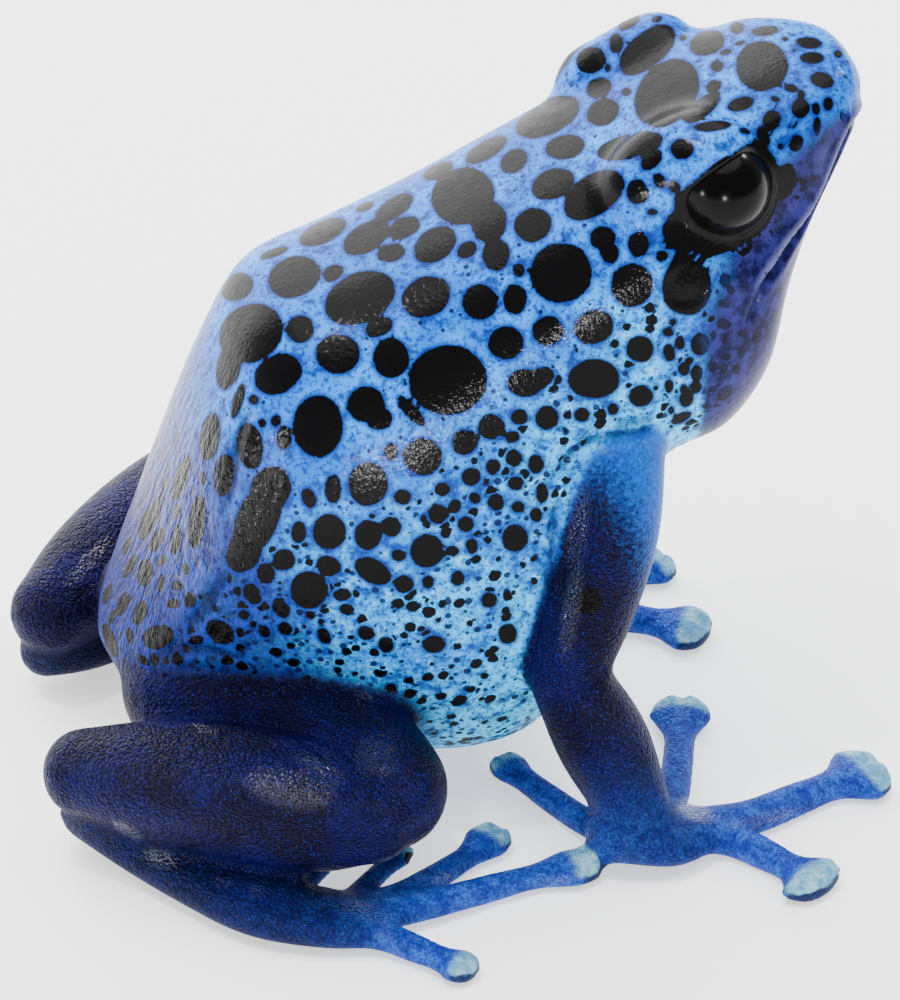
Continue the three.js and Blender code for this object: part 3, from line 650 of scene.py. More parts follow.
# Finer mesh round the eyes, along the mouth and at the nostrils.
u = np.linspace(0, MOUTH_ALONG[-1], 220)
turn = np.interp(u, MOUTH_ALONG, MOUTH_TURN)
turn = np.convolve(np.pad(turn, 12, mode="edge"), np.ones(25) / 25, mode="valid")
lips = trunk_surface(u / LAST_SECTION, math.pi * turn)
lips = np.vstack([lips * (1, side, 1) for side in (-1, 1)])
nostril = trunk_surface(np.array([NOSTRIL_ALONG]) / LAST_SECTION, np.array([NOSTRIL_TURN]) * math.pi)[0]
nostrils = np.array([nostril * (1, side, 1) for side in (-1, 1)])
surface = skin.surface()
lips = np.array([surface.find_nearest(p)[0] for p in lips])
nostrils = np.array([surface.find_nearest(p)[0] for p in nostrils])
for reach_eye, reach_lip, reach_nostril in FINE_HEAD:
    away = [skin.at - eye_at[s] for s in eye_at]
    eyes_near = [
        (np.linalg.norm(a, axis=1) < reach_eye) & (unit(a) @ facing[s] > 0.1) for a, s in zip(away, eye_at)
    ]
    head_part = skin.at[:, 2] > HEAD_FLOOR
    lip_distance = np.full(len(skin.at), 9.0)
    lip_distance[head_part] = nearest(lips, skin.at[head_part])[0]
    nostril_near = np.minimum(*[np.linalg.norm(skin.at - p, axis=1) for p in nostrils]) < reach_nostril
    skin.refine(eyes_near[0] | eyes_near[1] | (lip_distance < reach_lip) | nostril_near)
    skin.relax(0.3, 2)
normal = skin.normals()

# Eyes: the skin dives under the eyeball inside the opening and stands as a thin rim round it, and the upper
# lid hangs over it.
lid_slope = {}
for side in eye_at:
    away = skin.at - eye_at[side]
    distance = np.linalg.norm(away, axis=1)
    direction = away / distance[:, None]
    angle = np.arccos(np.clip(direction @ facing[side], -1, 1))
    below_rim = angle - RIM_ANGLE
    above_lid = np.arcsin(np.clip(direction @ lid_way[side], -1, 1)) - LID_ANGLE
    outside = np.log(np.exp(LID_CORNER * below_rim) + np.exp(LID_CORNER * above_lid)) / LID_CORNER
    upper_part = smoothstep(-0.1, 0.25, above_lid - below_rim)
    close = smoothstep(3.8, 2.7, distance)
    inside = smoothstep(0.04, -0.03, outside) * (distance < 3)
    rim = hump(outside, 0.09, 0.06) * (0.05 + 0.05 * upper_part)
    fold = hump(outside, 0.25, 0.05) * (1 - upper_part)
    ceiling = EYE_RADIUS + 0.06 + 0.06 * upper_part + 0.5 * smoothstep(0.0, 0.5, outside)
    sunk = np.maximum(distance - ceiling, 0) * smoothstep(1.0, 0.25, outside) * close
    level = distance - sunk + (rim - 0.05 * fold) * close
    level = level * (1 - inside) + (EYE_RADIUS - 0.25) * inside
    skin.at = eye_at[side] + direction * level[:, None]
    lid_slope[side] = close * smoothstep(0.12, 0.3, outside)
slopes = np.maximum(lid_slope["right"], lid_slope["left"])[:, None]
skin.relax(0.6 * slopes, 12)
normal = skin.normals()


def from_lips():
    """Each vertex's distance from the mouth, how much it is upper lip, and a fade towards the corners."""
    distance, which = np.full(len(skin.at), 9.0), np.zeros(len(skin.at), int)
    head_part = skin.at[:, 2] > HEAD_FLOOR
    distance[head_part], which[head_part] = nearest(lips, skin.at[head_part])
    above = smoothstep(-0.12, 0.12, skin.at[:, 2] - lips[which, 2])
    return distance, above, smoothstep(MOUTH_ALONG[-1], MOUTH_ALONG[-1] - 0.7, np.tile(u, 2)[which])


# The line of the mouth between a full upper lip and a thinner lower one.
distance, above, fade = from_lips()
cut = -MOUTH_DEPTH * hump(distance, 0, 0.13) * (0.4 + 0.6 * fade)
fullness = (0.05 + 0.09 * above) * hump(distance, 0.38, 0.22) * fade
skin.at += normal * (cut + fullness)[:, None]

# Nostrils, and the round ears as shallow discs.
for p in nostrils:
    distance = np.linalg.norm(skin.at - p, axis=1)
    skin.at += normal * (0.05 * hump(distance, 0.32, 0.1) - 0.32 * hump(distance, 0, 0.15))[:, None]
surface = skin.surface()
ear = np.array(surface.ray_cast(lens_at, sight(*EAR))[0])
for side in (1, -1):
    distance = np.linalg.norm(skin.at - ear * (1, side, 1), axis=1)
    rim = 0.04 * hump(distance, EAR_RADIUS, 0.14)
    skin.at += normal * (rim - 0.07 * smoothstep(EAR_RADIUS, EAR_RADIUS - 0.25, distance))[:, None]
skin.at[:, 2] = np.maximum(skin.at[:, 2], 0)
skin.write()

# Creases, each with low banks.
creased = np.zeros(len(skin.at))
for course, depth, width in CREASES:
    hits = [surface.ray_cast(lens_at, sight(x, y))[0] for x, y in course]
    knots = np.array([p for p in hits if p is not None])
    path = np.array([surface.find_nearest(p)[0] for p in spline(knots, np.linspace(0, 1, 60))])
    near = np.flatnonzero(np.linalg.norm(skin.at - path.mean(0), axis=1) < 6)
    distance, which = nearest(path, skin.at[near])
    ends = smoothstep(0, 0.2, which / 59) * smoothstep(1, 0.8, which / 59)
    push = 0.4 * depth * hump(distance, 2 * width, width) - depth * hump(distance, 0, width)
    skin.at[near] += normal[near] * (push * ends)[:, None]
    creased[near] = np.maximum(creased[near], hump(distance, 0, width) * ends)
crease_at, crease_values = skin.at[creased > 0.02], creased[creased > 0.02]
skin.write()

# Finer mesh where small spots lie close together.
hits = [surface.ray_cast(lens_at, sight(*row[:2]))[0] for row in SEEN_SPOTS if row[2] < FINE_SPOT]
small = np.array([p for p in hits if p is not None])
skin.refine(nearest(small, skin.at)[0] < FINE_REACH)
normal = skin.normals()

# A shallow groove down the middle parts the top of each pad into two scutes.
for side in ARMS:
    for path, thick, disc in ARMS[side]["fingers"] + LEGS[side]["toes"]:
        end, ahead = np.array(path[-1]), unit(np.subtract(path[-1], path[-2]))
        across = unit(np.cross((0, 0, 1), ahead))
        away = skin.at - end
        on_pad = (np.linalg.norm(away, axis=1) < disc + 0.4) & (normal[:, 2] > 0)
        offside = np.abs(away @ across)
        banks = 0.4 * hump(offside, 2.2 * SCUTE_GROOVE, SCUTE_GROOVE)
        groove = hump(offside, 0, SCUTE_GROOVE) - banks
        length = smoothstep(-0.5 * disc, 0.1 * disc, away @ ahead) * normal[:, 2]
        skin.at[:, 2] -= np.where(on_pad, 0.16 * disc * groove * length, 0)
skin.write()

# Where each bit of skin belongs, for its colour.
label_points, label_values = [], []
for name, at, _ in lofts:
    along = np.linspace(0, 1, len(at))
    kind = name.split("_", 1)[-1]
    limb = 0 * along + (kind not in ("trunk", "brow", "lids"))
    if kind == "upper_arm":
        stations = np.array(ARMS[name.split("_")[0]][kind])[::-1]
        ahead = at[:, 0] - np.interp(at[:, 2], stations[:, 2], stations[:, 0])
        limb = smoothstep(0.05, 0.55, along - SLEEVE_SLANT * ahead)
    hand = {
        "hand": 0 * along + 0.42, "digit": 0 * along + 1, "foot": 0.06 + 0.14 * smoothstep(0.4, 1.0, along),
        "forearm": 0.45 * smoothstep(0.55, 1.0, along),
    }.get(kind, 0 * along)
    tip = smoothstep(0.7, 0.86, along) if kind == "digit" else 0 * along
    arm = smoothstep(0.95, 0.75, along) if kind == "upper_arm" else 0 * along
    # Painted shade spreads from the thighs onto the body.
    groin = 0 * along + (kind == "thigh")
    label_points.append(at)
    label_values.append(np.stack([limb, hand, tip, arm, groin], 1))
label_points, label_values = np.vstack(label_points), np.vstack(label_values)
step = nearest(label_points, skin.at)[1]
limb, hand, tip, arm, groin = (
    skin.soften(label_values[step, k], rounds) for k, rounds in enumerate(LABEL_ROUNDS)
)

# Every vertex's place on the trunk: how far along, counted in sections, and its turn from the back, in pi.
grid_along, grid_turn = np.meshgrid(np.linspace(0, LAST_SECTION, 113), np.linspace(0.02, 0.98, 49))
grid = trunk_surface(grid_along.ravel() / LAST_SECTION, grid_turn.ravel() * math.pi)
step = nearest(grid, np.abs(skin.at * (0, 1, 0)) + skin.at * (1, 0, 1))[1]
trunk_along, trunk_turn = skin.soften(grid_along.ravel()[step], 4), skin.soften(grid_turn.ravel()[step], 4)
throat_edge = np.interp(trunk_along, THROAT_ALONG, THROAT_TURN)
throat = smoothstep(-0.07, 0.05, trunk_turn - throat_edge) * (1 - limb)
rump = smoothstep(9.6, 12.4, trunk_along + 1.5 * (trunk_turn - 0.3))
belly = smoothstep(0.27, 0.5, trunk_turn) * smoothstep(4.0, 6.0, trunk_along)
# How far down the lower flank and belly the skin is painted paler, as painted light.
under = smoothstep(0.5, 0.75, trunk_turn) * (1 - rump)
low_rump = rump * smoothstep(11.9, 13.0, trunk_along)
sheen = rump * (1 - low_rump) * smoothstep(0.5, 0.0, belly)
distance, above, fade = from_lips()
# Where the upper lip carries a painted sheen, just above the mouth.
lip = hump(distance, 0.36, 0.2) * above * fade
distance, which = nearest(crease_at, skin.at)
crease = skin.soften(crease_values[which] * (distance < 0.3), 1)

normal = skin.normals()


class Spots:
    """Signed distance from the edge of the nearest black spot, in millimetres, below zero inside it."""

    def __init__(self):
        self.distance = np.full(len(skin.at), 5.0)

    def add(self, centre, facing_way, along, across, seen_as=None, mirror=(1, 1, 1)):
        """Adds an ellipse by its half axes; its row in the picture, seen_as, rules where it is seen."""
        at, way = skin.at * mirror, normal * mirror
        reach = 3 * max(np.linalg.norm(along), np.linalg.norm(across)) + 1.5
        rows = np.flatnonzero((np.abs(at - centre) < reach).all(axis=1) & (way @ facing_way > -0.2))
        away = at[rows] - centre
        length = np.linalg.norm(away, axis=1)
        q = np.linalg.norm(away @ np.linalg.pinv(np.stack([along, across], 1)).T, axis=1)
        distance = length * (1 - 1 / np.maximum(q, 1e-3))
        if seen_as:
            seen = length * (1 - 1 / np.maximum(radii_away(at[rows], *seen_as), 1e-3))
            distance += (seen - distance) * smoothstep(0.05, 0.3, way[rows] @ np.array(back))
        self.distance[rows] = np.minimum(self.distance[rows], distance)


def ellipse_on_skin(x, y, long_radius, short_radius, tilt):
    """Centre, outward way and half axes on the skin of an ellipse in the picture, or None off the frog."""
    hit, way, _, _ = surface.ray_cast(lens_at, sight(x, y))
    if hit is None:
        return None
    way = way if way.dot(back) > 0 else -way
    axes = []
    for radius, turn in ((long_radius, math.radians(tilt)), (short_radius, math.radians(tilt + 90))):
        ray = sight(x + 3 * math.cos(turn), y + 3 * math.sin(turn))
        step_out = (lens_at + ray * ((hit - lens_at).dot(way) / ray.dot(way)) - hit) / 3
        axes.append(np.array(step_out * min(1, STRETCH_LIMIT / PIXELS_PER_MM / step_out.length)) * radius)
    return np.array(hit), np.array(way), *axes


spots = Spots()
MIRROR = np.array((1, -1, 1))
for row in SEEN_SPOTS + EYE_MASK:
    found = ellipse_on_skin(*row)
    if found:
        spots.add(*found, seen_as=row)
        if row in EYE_MASK:
            spots.add(*found, seen_as=row, mirror=MIRROR)

# Out of the camera's sight, spots are set down at random: large on the back, ever finer towards the belly.
chance = np.random.default_rng(SEED)
seen = np.array([
    n @ np.array(back) > 0.08
    and surface.ray_cast(Vector(p + n * 0.05), (lens_at - Vector(p)).normalized())[0] is None
    for p, n in zip(skin.at, normal)
])
out_of_sight = skin.soften(seen.astype(float), 12) < 0.02
free = out_of_sight & (limb < 0.05) & (arm < 0.05) & (from_eyes() > 2.6)
for largest, smallest, gap, tries, open_skin in (
    (1.25, 0.8, 0.3, 90, free & (trunk_turn < 0.42)),
    (0.75, 0.45, 0.22, 260, free & (trunk_turn < 0.6)),
    (0.42, 0.26, 0.16, 900, free),
    (0.24, 0.17, 0.12, 900, free & (trunk_turn > 0.3)),
):
    rows = np.flatnonzero(open_skin)
    for row in chance.choice(rows, min(tries, len(rows)), replace=False):
        radius = chance.uniform(smallest, largest)
        if spots.distance[row] < radius + gap:
            continue
        side = unit(np.cross(normal[row], chance.normal(size=3)))
        stretch = chance.uniform(1.0, 1.35) + 0.8 * rump[row]
        spots.add(skin.at[row], normal[row], side * radius * stretch, np.cross(normal[row], side) * radius)

# The margins of the lids are black.
for side in eye_at:
    distance = np.linalg.norm(skin.at - eye_at[side], axis=1)
    direction = unit(skin.at - eye_at[side])
    below_rim = np.arccos(np.clip(direction @ facing[side], -1, 1)) - RIM_ANGLE
    above_lid = np.arcsin(np.clip(direction @ lid_way[side], -1, 1)) - LID_ANGLE
    off_lids = np.maximum(below_rim - LOWER_MARGIN, above_lid - UPPER_MARGIN) * EYE_RADIUS
    spots.distance = np.minimum(spots.distance, np.maximum(off_lids, distance - LID_EDGE_REACH))

# Thick mucus on the limbs.
wet_film = np.zeros(len(skin.at))
for patch in WET_PATCHES:
    film = smoothstep(1.3, 0.7, radii_away(skin.at, *patch))
    wet_film = np.maximum(wet_film, film * (normal @ np.array(back) > 0.05))

attributes = {
    "spots": spots.distance, "limb": limb, "hand": hand, "tip": tip * smoothstep(0.1, 0.7, normal[:, 2]),
    "toe_end": tip, "throat": throat, "rump": rump, "belly": belly, "lip": lip, "arm": arm,
    "groin": groin, "under": under, "crease": crease, "low_rump": low_rump,
    "sheen": np.maximum(sheen, POOL_SHEEN * wet_film),
    "dusky": throat * smoothstep(2.5, 3.4, from_eyes()),
}
for name, values in attributes.items():
    attribute = mesh.attributes.new(name, "FLOAT", "POINT")
    attribute.data.foreach_set("value", np.ascontiguousarray(values, np.float32))

# Into the row's frame, in metres.
low_corner, high_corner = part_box("right_eye")
shift = (np.array(low_corner) + np.array(high_corner)) / 2 / MM - eye_at["right"]
skin.at = (skin.at + shift) * MM
skin.write()
mesh.name = "skin"
mesh.shade_smooth()
skin_object = bpy.data.objects.new("skin", mesh)
bpy.context.scene.collection.objects.link(skin_object)


def linear(code):
    """Linear colour of an sRGB hex code."""
    parts = [int(code[i:i + 2], 16) / 255 for i in (1, 3, 5)]
    return (*[c / 12.92 if c <= 0.04045 else ((c + 0.055) / 1.055) ** 2.4 for c in parts], 1.0)


def add_node(tree, kind, inputs=None, **settings):
    """Adds a node; inputs gives its sockets a value, an sRGB hex code, or another node's output to link."""
    node = tree.nodes.new(kind)
    for key, value in settings.items():
        setattr(node, key, value)
    for socket, value in (inputs or {}).items():
        if isinstance(value, bpy.types.NodeSocket):
            tree.links.new(value, node.inputs[socket])
        else:
            is_colour = isinstance(value, str) and value.startswith("#")
            node.inputs[socket].default_value = linear(value) if is_colour else value
    return node


def new_material(name):
    material = bpy.data.materials.new(name)
    material.use_nodes = True
    material.node_tree.nodes.clear()
    return material, material.node_tree


# Real sizes of the skin's patterns, in millimetres.
CLOUD = 2.6
MOTTLE = 0.55
FLECK = 0.17
GRANULE = 0.12
LARGE_SPECK = 0.6
SMALL_SPECK = 0.38
WRINKLE = 0.36
# Below 1 draws the wrinkles out down the rump.
WRINKLE_STRETCH = 0.45
# How far the grains and the wrinkles stand out beside the leather.
GRAIN_RELIEF = 3.4
WRINKLE_RELIEF = 7.0


def frog_skin():
    """Moist frog skin: blue that comes from light scattered over black pigment, under a film of mucus.

    To the eye it is a saturated blue with soft mottling, dense black spots and specks, a wet gloss, fine
    leathery relief on the body, grains on the limbs that each hold a spark of light, and long wrinkles on
    the rump.
    """
    material, tree = new_material("moist_frog_skin")
    place = add_node(tree, "ShaderNodeTexCoord").outputs["Object"]
    on_rump = add_node(tree, "ShaderNodeMapping", {
        "Vector": place, "Rotation": (0, -RUMP_SLOPE, 0), "Scale": (1, 1, WRINKLE_STRETCH),
    }).outputs[0]
    noise = {
        name: add_node(
            tree, "ShaderNodeTexNoise",
            {"Vector": where, "Scale": 1 / (size * MM), "Detail": detail, "Roughness": rough},
        ).outputs[0]
        for name, where, size, detail, rough in (
            ("cloud", place, CLOUD, 3.0, 0.5), ("mottle", place, MOTTLE, 4.0, 0.65),
            ("fleck", place, FLECK, 2.0, 0.6), ("wrinkle", on_rump, WRINKLE, 3.0, 0.6),
        )
    }
    cells = {
        name: add_node(
            tree, "ShaderNodeTexVoronoi", {"Vector": place, "Scale": 1 / (size * MM)}, feature="F1",
        ).outputs
        for name, size in (("granule", GRANULE), ("large", LARGE_SPECK), ("small", SMALL_SPECK))
    }
    part = {
        name: add_node(tree, "ShaderNodeAttribute", attribute_name=name).outputs["Fac"]
        for name in attributes
    }
    # The edge of a big spot wavers.
    waver = add_node(
        tree, "ShaderNodeMath", {0: noise["fleck"], 1: 0.12, 2: -0.06}, operation="MULTIPLY_ADD",
    ).outputs[0]
    waver = add_node(
        tree, "ShaderNodeMath", {0: noise["mottle"], 1: 0.2, 2: waver}, operation="MULTIPLY_ADD",
    ).outputs[0]
    waver = add_node(tree, "ShaderNodeMath", {0: waver, 1: 0.1}, operation="SUBTRACT").outputs[0]
    edge = add_node(tree, "ShaderNodeMath", {0: part["spots"], 1: waver}, operation="ADD").outputs[0]
    blend = add_node(
        tree, "ShaderNodeMath", {0: noise["fleck"], 1: 0.7, 2: -0.35}, operation="MULTIPLY_ADD",
    ).outputs[0]
    blend = add_node(tree, "ShaderNodeMath", {0: part["limb"], 1: blend}, operation="ADD").outputs[0]
    # A speck's size hangs on its own cell, and many cells hold none; it shrinks beside big spots and on the
    # arm, and the larger kind also towards the back.
    space = {
        name: add_node(
            tree, "ShaderNodeMapRange", {0: source, 1: low, 2: high, 3: start},
            interpolation_type="SMOOTHSTEP",
        ).outputs[0]
        for name, source, low, high, start in (
            ("large", part["belly"], 0.0, 0.8, 0.0), ("small", part["belly"], 0.0, 0.8, 0.6),
            ("beside", edge, 0.0, 0.14, 0.0), ("off_arm", part["arm"], 0.3, 0.05, 0.0),
        )
    }
    away = {}
    for name, least, span in (("large", 0.14, 0.34), ("small", 0.0, 0.42)):
        chance_here = add_node(tree, "ShaderNodeSeparateColor", {0: cells[name]["Color"]}).outputs[0]
        radius = add_node(
            tree, "ShaderNodeMath", {0: chance_here, 1: span, 2: least}, operation="MULTIPLY_ADD",
        ).outputs[0]
        for room in (space[name], space["beside"], space["off_arm"]):
            radius = add_node(tree, "ShaderNodeMath", {0: radius, 1: room}, operation="MULTIPLY").outputs[0]
        ragged = add_node(
            tree, "ShaderNodeMath", {0: noise["fleck"], 1: 0.36, 2: -0.18}, operation="MULTIPLY_ADD",
        ).outputs[0]
        ragged = add_node(
            tree, "ShaderNodeMath", {0: ragged, 1: cells[name]["Distance"]}, operation="ADD",
        ).outputs[0]
        away[name] = add_node(
            tree, "ShaderNodeMath", {0: ragged, 1: radius}, operation="SUBTRACT",
        ).outputs[0]
    weight = {
        name: add_node(
            tree, "ShaderNodeMapRange", {0: source, 1: low, 2: high, 3: start, 4: end},
            interpolation_type="SMOOTHSTEP",
        ).outputs[0]
        for name, source, low, high, start, end in (
            ("cloud", noise["cloud"], 0.36, 0.66, 0.0, 1.0),
            ("mottle", noise["mottle"], 0.38, 0.64, 0.0, 1.0),
            ("marbling", noise["mottle"], 0.48, 0.66, 0.0, 0.85),
            ("fleck", noise["fleck"], 0.5, 0.64, 0.0, 0.7),
            ("pale", noise["mottle"], 0.48, 0.34, 0.0, 0.45),
            ("belly", part["belly"], 0.0, 1.0, 0.0, 1.0), ("rim", edge, 0.18, 0.0, 0.0, 0.75),
            ("spot", edge, 0.02, -0.02, 0.0, 1.0), ("large", away["large"], 0.03, -0.05, 0.0, 1.0),
            ("small", away["small"], 0.03, -0.05, 0.0, 0.95), ("rump", part["rump"], 0.1, 0.9, 0.0, 0.9),
            ("dusky", part["dusky"], 0.2, 1.0, 1.0, 0.75),
            ("folds", noise["wrinkle"], 0.52, 0.4, 0.0, 0.75),
            # The painted shade by the thighs.
            ("groin", part["groin"], 0.03, 0.5, 0.0, 0.85),
            ("granule", cells["granule"]["Distance"], 0.3, 0.7, 0.0, 0.5),
            # The upper lip's painted sheen.
            ("lip", part["lip"], 0.2, 1.0, 0.0, 0.55),
            ("grain", cells["granule"]["Distance"], 0.35, 0.1, 0.0, 0.8),
            ("toe_end", part["toe_end"], 0.35, 0.8, 0.0, 0.85), ("tip", part["tip"], 0.1, 0.6, 0.0, 0.95),
            ("roughness", noise["mottle"], 0.3, 0.7, 0.38, 0.55),
            ("granular", part["limb"], 0.2, 0.8, 0.0, 1.0), ("limb", blend, 0.15, 0.9, 0.0, 1.0),
            ("upper_arm", part["arm"], 0.1, 0.7, 0.0, 0.9), ("film", part["belly"], 0.2, 0.9, 0.24, 0.14),
            ("crease", part["crease"], 0.1, 0.8, 0.0, 0.75), ("face", part["throat"], 0.0, 1.0, 1.0, 0.0),
            ("low_rump", part["low_rump"], 0.0, 1.0, 0.0, 0.7),
        )
    }
    cell_colour = add_node(tree, "ShaderNodeSeparateColor", {0: cells["granule"]["Color"]}).outputs
    few = add_node(tree, "ShaderNodeMapRange", {0: cell_colour[0], 1: 0.2, 2: 1.0}).outputs[0]
    wet = add_node(
        tree, "ShaderNodeMath", {0: part["sheen"], 1: 0.5, 2: weight["film"]}, operation="MULTIPLY_ADD",
    ).outputs[0]
    both = {
        name: add_node(tree, "ShaderNodeMath", {0: a, 1: b}, operation="MULTIPLY").outputs[0]
        for name, a, b in (
            ("spot", weight["spot"], weight["dusky"]), ("pale_belly", weight["pale"], weight["belly"]),
            ("rump_folds", weight["folds"], weight["rump"]), ("rim", weight["rim"], weight["face"]),
            # A few grains are painted brighter at their middles: partly speckle, partly painted glints.
            ("grain_speck_and_spark", weight["grain"], few),
        )
    }
    # Coats of colour, each laid over the one before it.
    paint = {}
    for name, ground, coats in (
        ("back", BACK_BLUE[0], ((weight["cloud"], BACK_BLUE[1]),)),
        # The flank is painted paler towards the underside: painted light.
        ("flank", FLANK_BLUE[0], ((weight["cloud"], FLANK_BLUE[1]), (part["under"], UNDERSIDE_PAINTED_LIGHT))),
        ("rump", RUMP_BLUE[0], ((weight["mottle"], RUMP_BLUE[1]),)),
        ("throat", THROAT_BLUE[0], ((weight["mottle"], THROAT_BLUE[1]),)),
        ("arm", ARM_BLUE[0], ((weight["mottle"], ARM_BLUE[1]), (weight["granule"], DEEP_BLUE))),
        ("body", "back", (
            (part["belly"], "flank"), (both["pale_belly"], PALE_BLUE), (weight["rump"], "rump"),
            (weight["low_rump"], RUMP_SHADE), (weight["marbling"], DEEP_BLUE),
            (weight["fleck"], DEEP_BLUE), (both["rump_folds"], RUMP_FOLDS), (part["throat"], "throat"),
            # Next come the painted shade by the thighs, the arm's own blue and the painted sheen on the
            # upper lip.
            (weight["groin"], GROIN_PAINTED_SHADE), (weight["upper_arm"], "arm"), (weight["lip"], LIP_PAINTED_SHEEN),
            (both["rim"], DEEP_BLUE), (weight["crease"], CREASE_SHADE), (weight["small"], SPECK_BLUE),
            (weight["large"], SPOT_BLACK), (both["spot"], SPOT_BLACK),
        )),
        ("navy", NAVY[0], (
            (weight["cloud"], NAVY[1]), (weight["granule"], NAVY_GAPS), (both["grain_speck_and_spark"], GRAIN_BLUE_AND_PAINTED_SPARK),
        )),
        ("paw", PAW_BLUE[0], ((weight["mottle"], PAW_BLUE[1]), (weight["granule"], PAW_GAPS))),
        ("pad", PAD_AQUA[0], ((weight["mottle"], PAD_AQUA[1]),)),
        ("limbs", "navy", (
            (part["hand"], "paw"), (weight["toe_end"], PAD_EDGE), (weight["tip"], "pad"),
            (weight["spot"], SPOT_BLACK),
        )),
        ("whole", "body", ((weight["limb"], "limbs"),)),
    ):
        paint[name] = paint.get(ground, ground)
        for factor, colour in coats:
            below, above = paint[name], paint.get(colour, colour)
            paint[name] = add_node(
                tree, "ShaderNodeMix", {0: factor, 6: below, 7: above}, data_type="RGBA",
            ).outputs[2]

    # Relief: leather everywhere, domed grains on the limbs and long wrinkles on the rump.
    grain = add_node(
        tree, "ShaderNodeMath", {0: cells["granule"]["Distance"], 1: -0.9, 2: 0.9},
        operation="MULTIPLY_ADD",
    ).outputs[0]
    height = add_node(tree, "ShaderNodeMath", {0: noise["fleck"], 1: 0.5}, operation="MULTIPLY").outputs[0]
    for source, factor, relief in (
        (grain, weight["granular"], GRAIN_RELIEF), (noise["wrinkle"], part["rump"], WRINKLE_RELIEF),
    ):
        amount = add_node(tree, "ShaderNodeMath", {0: factor, 1: relief}, operation="MULTIPLY").outputs[0]
        height = add_node(
            tree, "ShaderNodeMath", {0: source, 1: amount, 2: height}, operation="MULTIPLY_ADD",
        ).outputs[0]
    bump = add_node(
        tree, "ShaderNodeBump", {"Height": height, "Strength": 0.55, "Distance": RELIEF * MM},
    ).outputs[0]
    shader = add_node(tree, "ShaderNodeBsdfPrincipled", {
        "Base Color": paint["whole"], "Roughness": weight["roughness"], "Normal": bump, "IOR": 1.38,
        "Specular IOR Level": 0.035, "Coat Weight": wet, "Coat Roughness": 0.07, "Coat IOR": 1.34,
        "Coat Normal": bump,
    })
    add_node(tree, "ShaderNodeOutputMaterial", {"Surface": shader.outputs[0]})
    return material


def wet_eye():
    """A live eye: near-black pupil and dark brown iris under a clear wet cornea that mirrors the room."""
    material, tree = new_material("wet_cornea")
    place = add_node(tree, "ShaderNodeTexCoord").outputs["Object"]
    front = add_node(tree, "ShaderNodeAttribute", attribute_name="front").outputs["Fac"]
    fibres = add_node(
        tree, "ShaderNodeTexNoise", {"Vector": place, "Scale": 1 / (IRIS_FIBRE * MM), "Detail": 3.0},
    ).outputs[0]
    brown = add_node(tree, "ShaderNodeMapRange", {0: fibres, 1: 0.4, 2: 0.65}).outputs[0]
    pupil = add_node(tree, "ShaderNodeMapRange", {0: front, 1: PUPIL_EDGE - 0.03, 2: PUPIL_EDGE}).outputs[0]
    iris = add_node(
        tree, "ShaderNodeMix", {0: brown, 6: "#040303", 7: "#0a0605"}, data_type="RGBA",
    ).outputs[2]
    colour = add_node(tree, "ShaderNodeMix", {0: pupil, 6: iris, 7: "#020202"}, data_type="RGBA").outputs[2]
    wetness = add_node(tree, "ShaderNodeMapRange", {0: fibres, 1: 0.3, 2: 0.7, 3: 0.15, 4: 0.2}).outputs[0]
    shader = add_node(tree, "ShaderNodeBsdfPrincipled", {
        "Base Color": colour, "Roughness": wetness, "IOR": 1.38, "Specular IOR Level": 0.12,
    })
    add_node(tree, "ShaderNodeOutputMaterial", {"Surface": shader.outputs[0]})
    return material


def white_acrylic():
    """A table of white opal acrylic, lit faintly from within: matt, even, and only softly in shadow."""
    material, tree = new_material("white_acrylic")
    shader = add_node(tree, "ShaderNodeBsdfPrincipled", {
        "Base Color": "#f8f8f8", "Roughness": 0.95, "Specular IOR Level": 0.1,
        "Emission Color": "#ffffff", "Emission Strength": TABLE_GLOW,
    })
    add_node(tree, "ShaderNodeOutputMaterial", {"Surface": shader.outputs[0]})
    return material


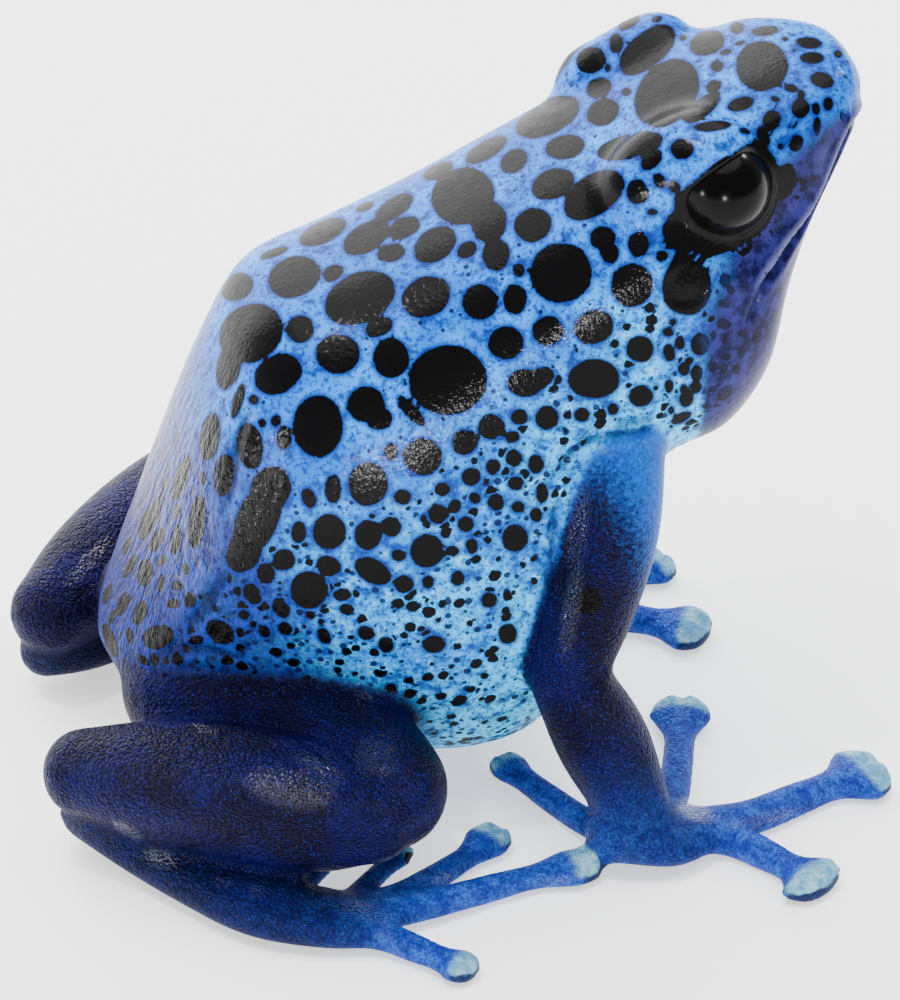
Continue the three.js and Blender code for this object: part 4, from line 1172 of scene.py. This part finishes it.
def eyeball_tree(material):
    """Geometry nodes that make an eyeball from its sizes: a ball whose clear front swells a little."""
    tree = bpy.data.node_groups.new("eyeball", "GeometryNodeTree")
    for name, kind in (
        ("Centre", "NodeSocketVector"), ("Facing", "NodeSocketVector"), ("Radius", "NodeSocketFloat"),
        ("Cornea height", "NodeSocketFloat"), ("Cornea edge", "NodeSocketFloat"),
    ):
        tree.interface.new_socket(name, in_out="INPUT", socket_type=kind)
    tree.interface.new_socket("Geometry", in_out="OUTPUT", socket_type="NodeSocketGeometry")
    given = add_node(tree, "NodeGroupInput").outputs
    ball = add_node(
        tree, "GeometryNodeMeshIcoSphere", {"Radius": given["Radius"], "Subdivisions": 6},
    ).outputs[0]
    position = add_node(tree, "GeometryNodeInputPosition").outputs[0]
    outward = add_node(tree, "ShaderNodeVectorMath", {0: position}, operation="NORMALIZE").outputs[0]
    front = add_node(
        tree, "ShaderNodeVectorMath", {0: outward, 1: given["Facing"]}, operation="DOT_PRODUCT",
    ).outputs["Value"]
    swell = add_node(
        tree, "ShaderNodeMapRange", {0: front, 1: given["Cornea edge"], 2: 1.0, 4: given["Cornea height"]},
        interpolation_type="SMOOTHSTEP",
    ).outputs[0]
    offset = add_node(tree, "ShaderNodeVectorMath", {0: outward, 3: swell}, operation="SCALE").outputs[0]
    marked = add_node(
        tree, "GeometryNodeStoreNamedAttribute", {"Geometry": ball, "Name": "front", "Value": front},
    ).outputs[0]
    shaped = add_node(tree, "GeometryNodeSetPosition", {"Geometry": marked, "Offset": offset}).outputs[0]
    placed = add_node(
        tree, "GeometryNodeTransform", {"Geometry": shaped, "Translation": given["Centre"]},
    ).outputs[0]
    whole = add_node(tree, "GeometryNodeRealizeInstances", {0: placed}).outputs[0]
    finished = add_node(
        tree, "GeometryNodeSetMaterial", {"Geometry": whole, "Material": material},
    ).outputs[0]
    add_node(tree, "NodeGroupOutput", {0: finished})
    return tree


mesh.materials.append(frog_skin())
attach(skin_object, "root")
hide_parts(*FLESH)

eye_tree = eyeball_tree(wet_eye())
for side in eye_at:
    eyeball = bpy.data.objects.new(f"{side}_eyeball", bpy.data.meshes.new(f"{side}_eyeball"))
    bpy.context.scene.collection.objects.link(eyeball)
    maker = eyeball.modifiers.new("eyeball", "NODES")
    maker.node_group = eye_tree
    sizes = {
        "Centre": (eye_at[side] + shift) * MM, "Facing": facing[side], "Radius": EYE_RADIUS * MM,
        "Cornea height": CORNEA_HEIGHT * MM, "Cornea edge": CORNEA_EDGE,
    }
    for socket in eye_tree.interface.items_tree:
        if socket.in_out == "INPUT":
            value = sizes[socket.name]
            maker[socket.identifier] = float(value) if np.isscalar(value) else [float(v) for v in value]
    made = bpy.data.meshes.new_from_object(eyeball.evaluated_get(bpy.context.evaluated_depsgraph_get()))
    eyeball.modifiers.remove(maker)
    eyeball.data = made
    made.name = f"{side}_eyeball_mesh"
    made.shade_smooth()
    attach(eyeball, "root")
    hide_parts(f"{side}_eye")

# Floor, light and camera.
floor_mesh = bpy.data.meshes.new("floor")
corners = [(x * HALF_FLOOR, y * HALF_FLOOR, 0) for x, y in ((-1, -1), (1, -1), (1, 1), (-1, 1))]
floor_mesh.from_pydata(corners, [], [(0, 1, 2, 3)])
floor = bpy.data.objects.new("floor", floor_mesh)
bpy.context.scene.collection.objects.link(floor)
floor_mesh.materials.append(white_acrylic())

world = bpy.data.worlds.new("studio")
bpy.context.scene.world = world
world.use_nodes = True
world.node_tree.nodes["Background"].inputs[0].default_value = linear("#f6f8fb")
world.node_tree.nodes["Background"].inputs[1].default_value = WORLD_LIGHT

for name, at, width, watts in STUDIO_LIGHTS:
    lamp = bpy.data.lights.new(name, "AREA")
    lamp.shape = "DISK"
    lamp.size = width
    lamp.energy = watts
    lamp_object = bpy.data.objects.new(name, lamp)
    lamp_object.location = at
    lamp_object.rotation_mode = "QUATERNION"
    lamp_object.rotation_quaternion = (Vector(at) - Vector(LIGHTS_AIM)).to_track_quat("Z", "Y")
    lamp_object.visible_camera = False
    bpy.context.scene.collection.objects.link(lamp_object)

camera_data = bpy.data.cameras.new("camera")
camera_data.sensor_width = SENSOR
camera_data.lens = FOCAL_PIXELS / PICTURE_HEIGHT * SENSOR
camera_data.clip_start = 0.01
camera_data.clip_end = 10
camera = bpy.data.objects.new("camera", camera_data)
camera.location = (lens_at + Vector(shift)) * MM
camera.rotation_mode = "QUATERNION"
camera.rotation_quaternion = (-back).to_track_quat("-Z", "Y")
bpy.context.scene.collection.objects.link(camera)
bpy.context.scene.camera = camera
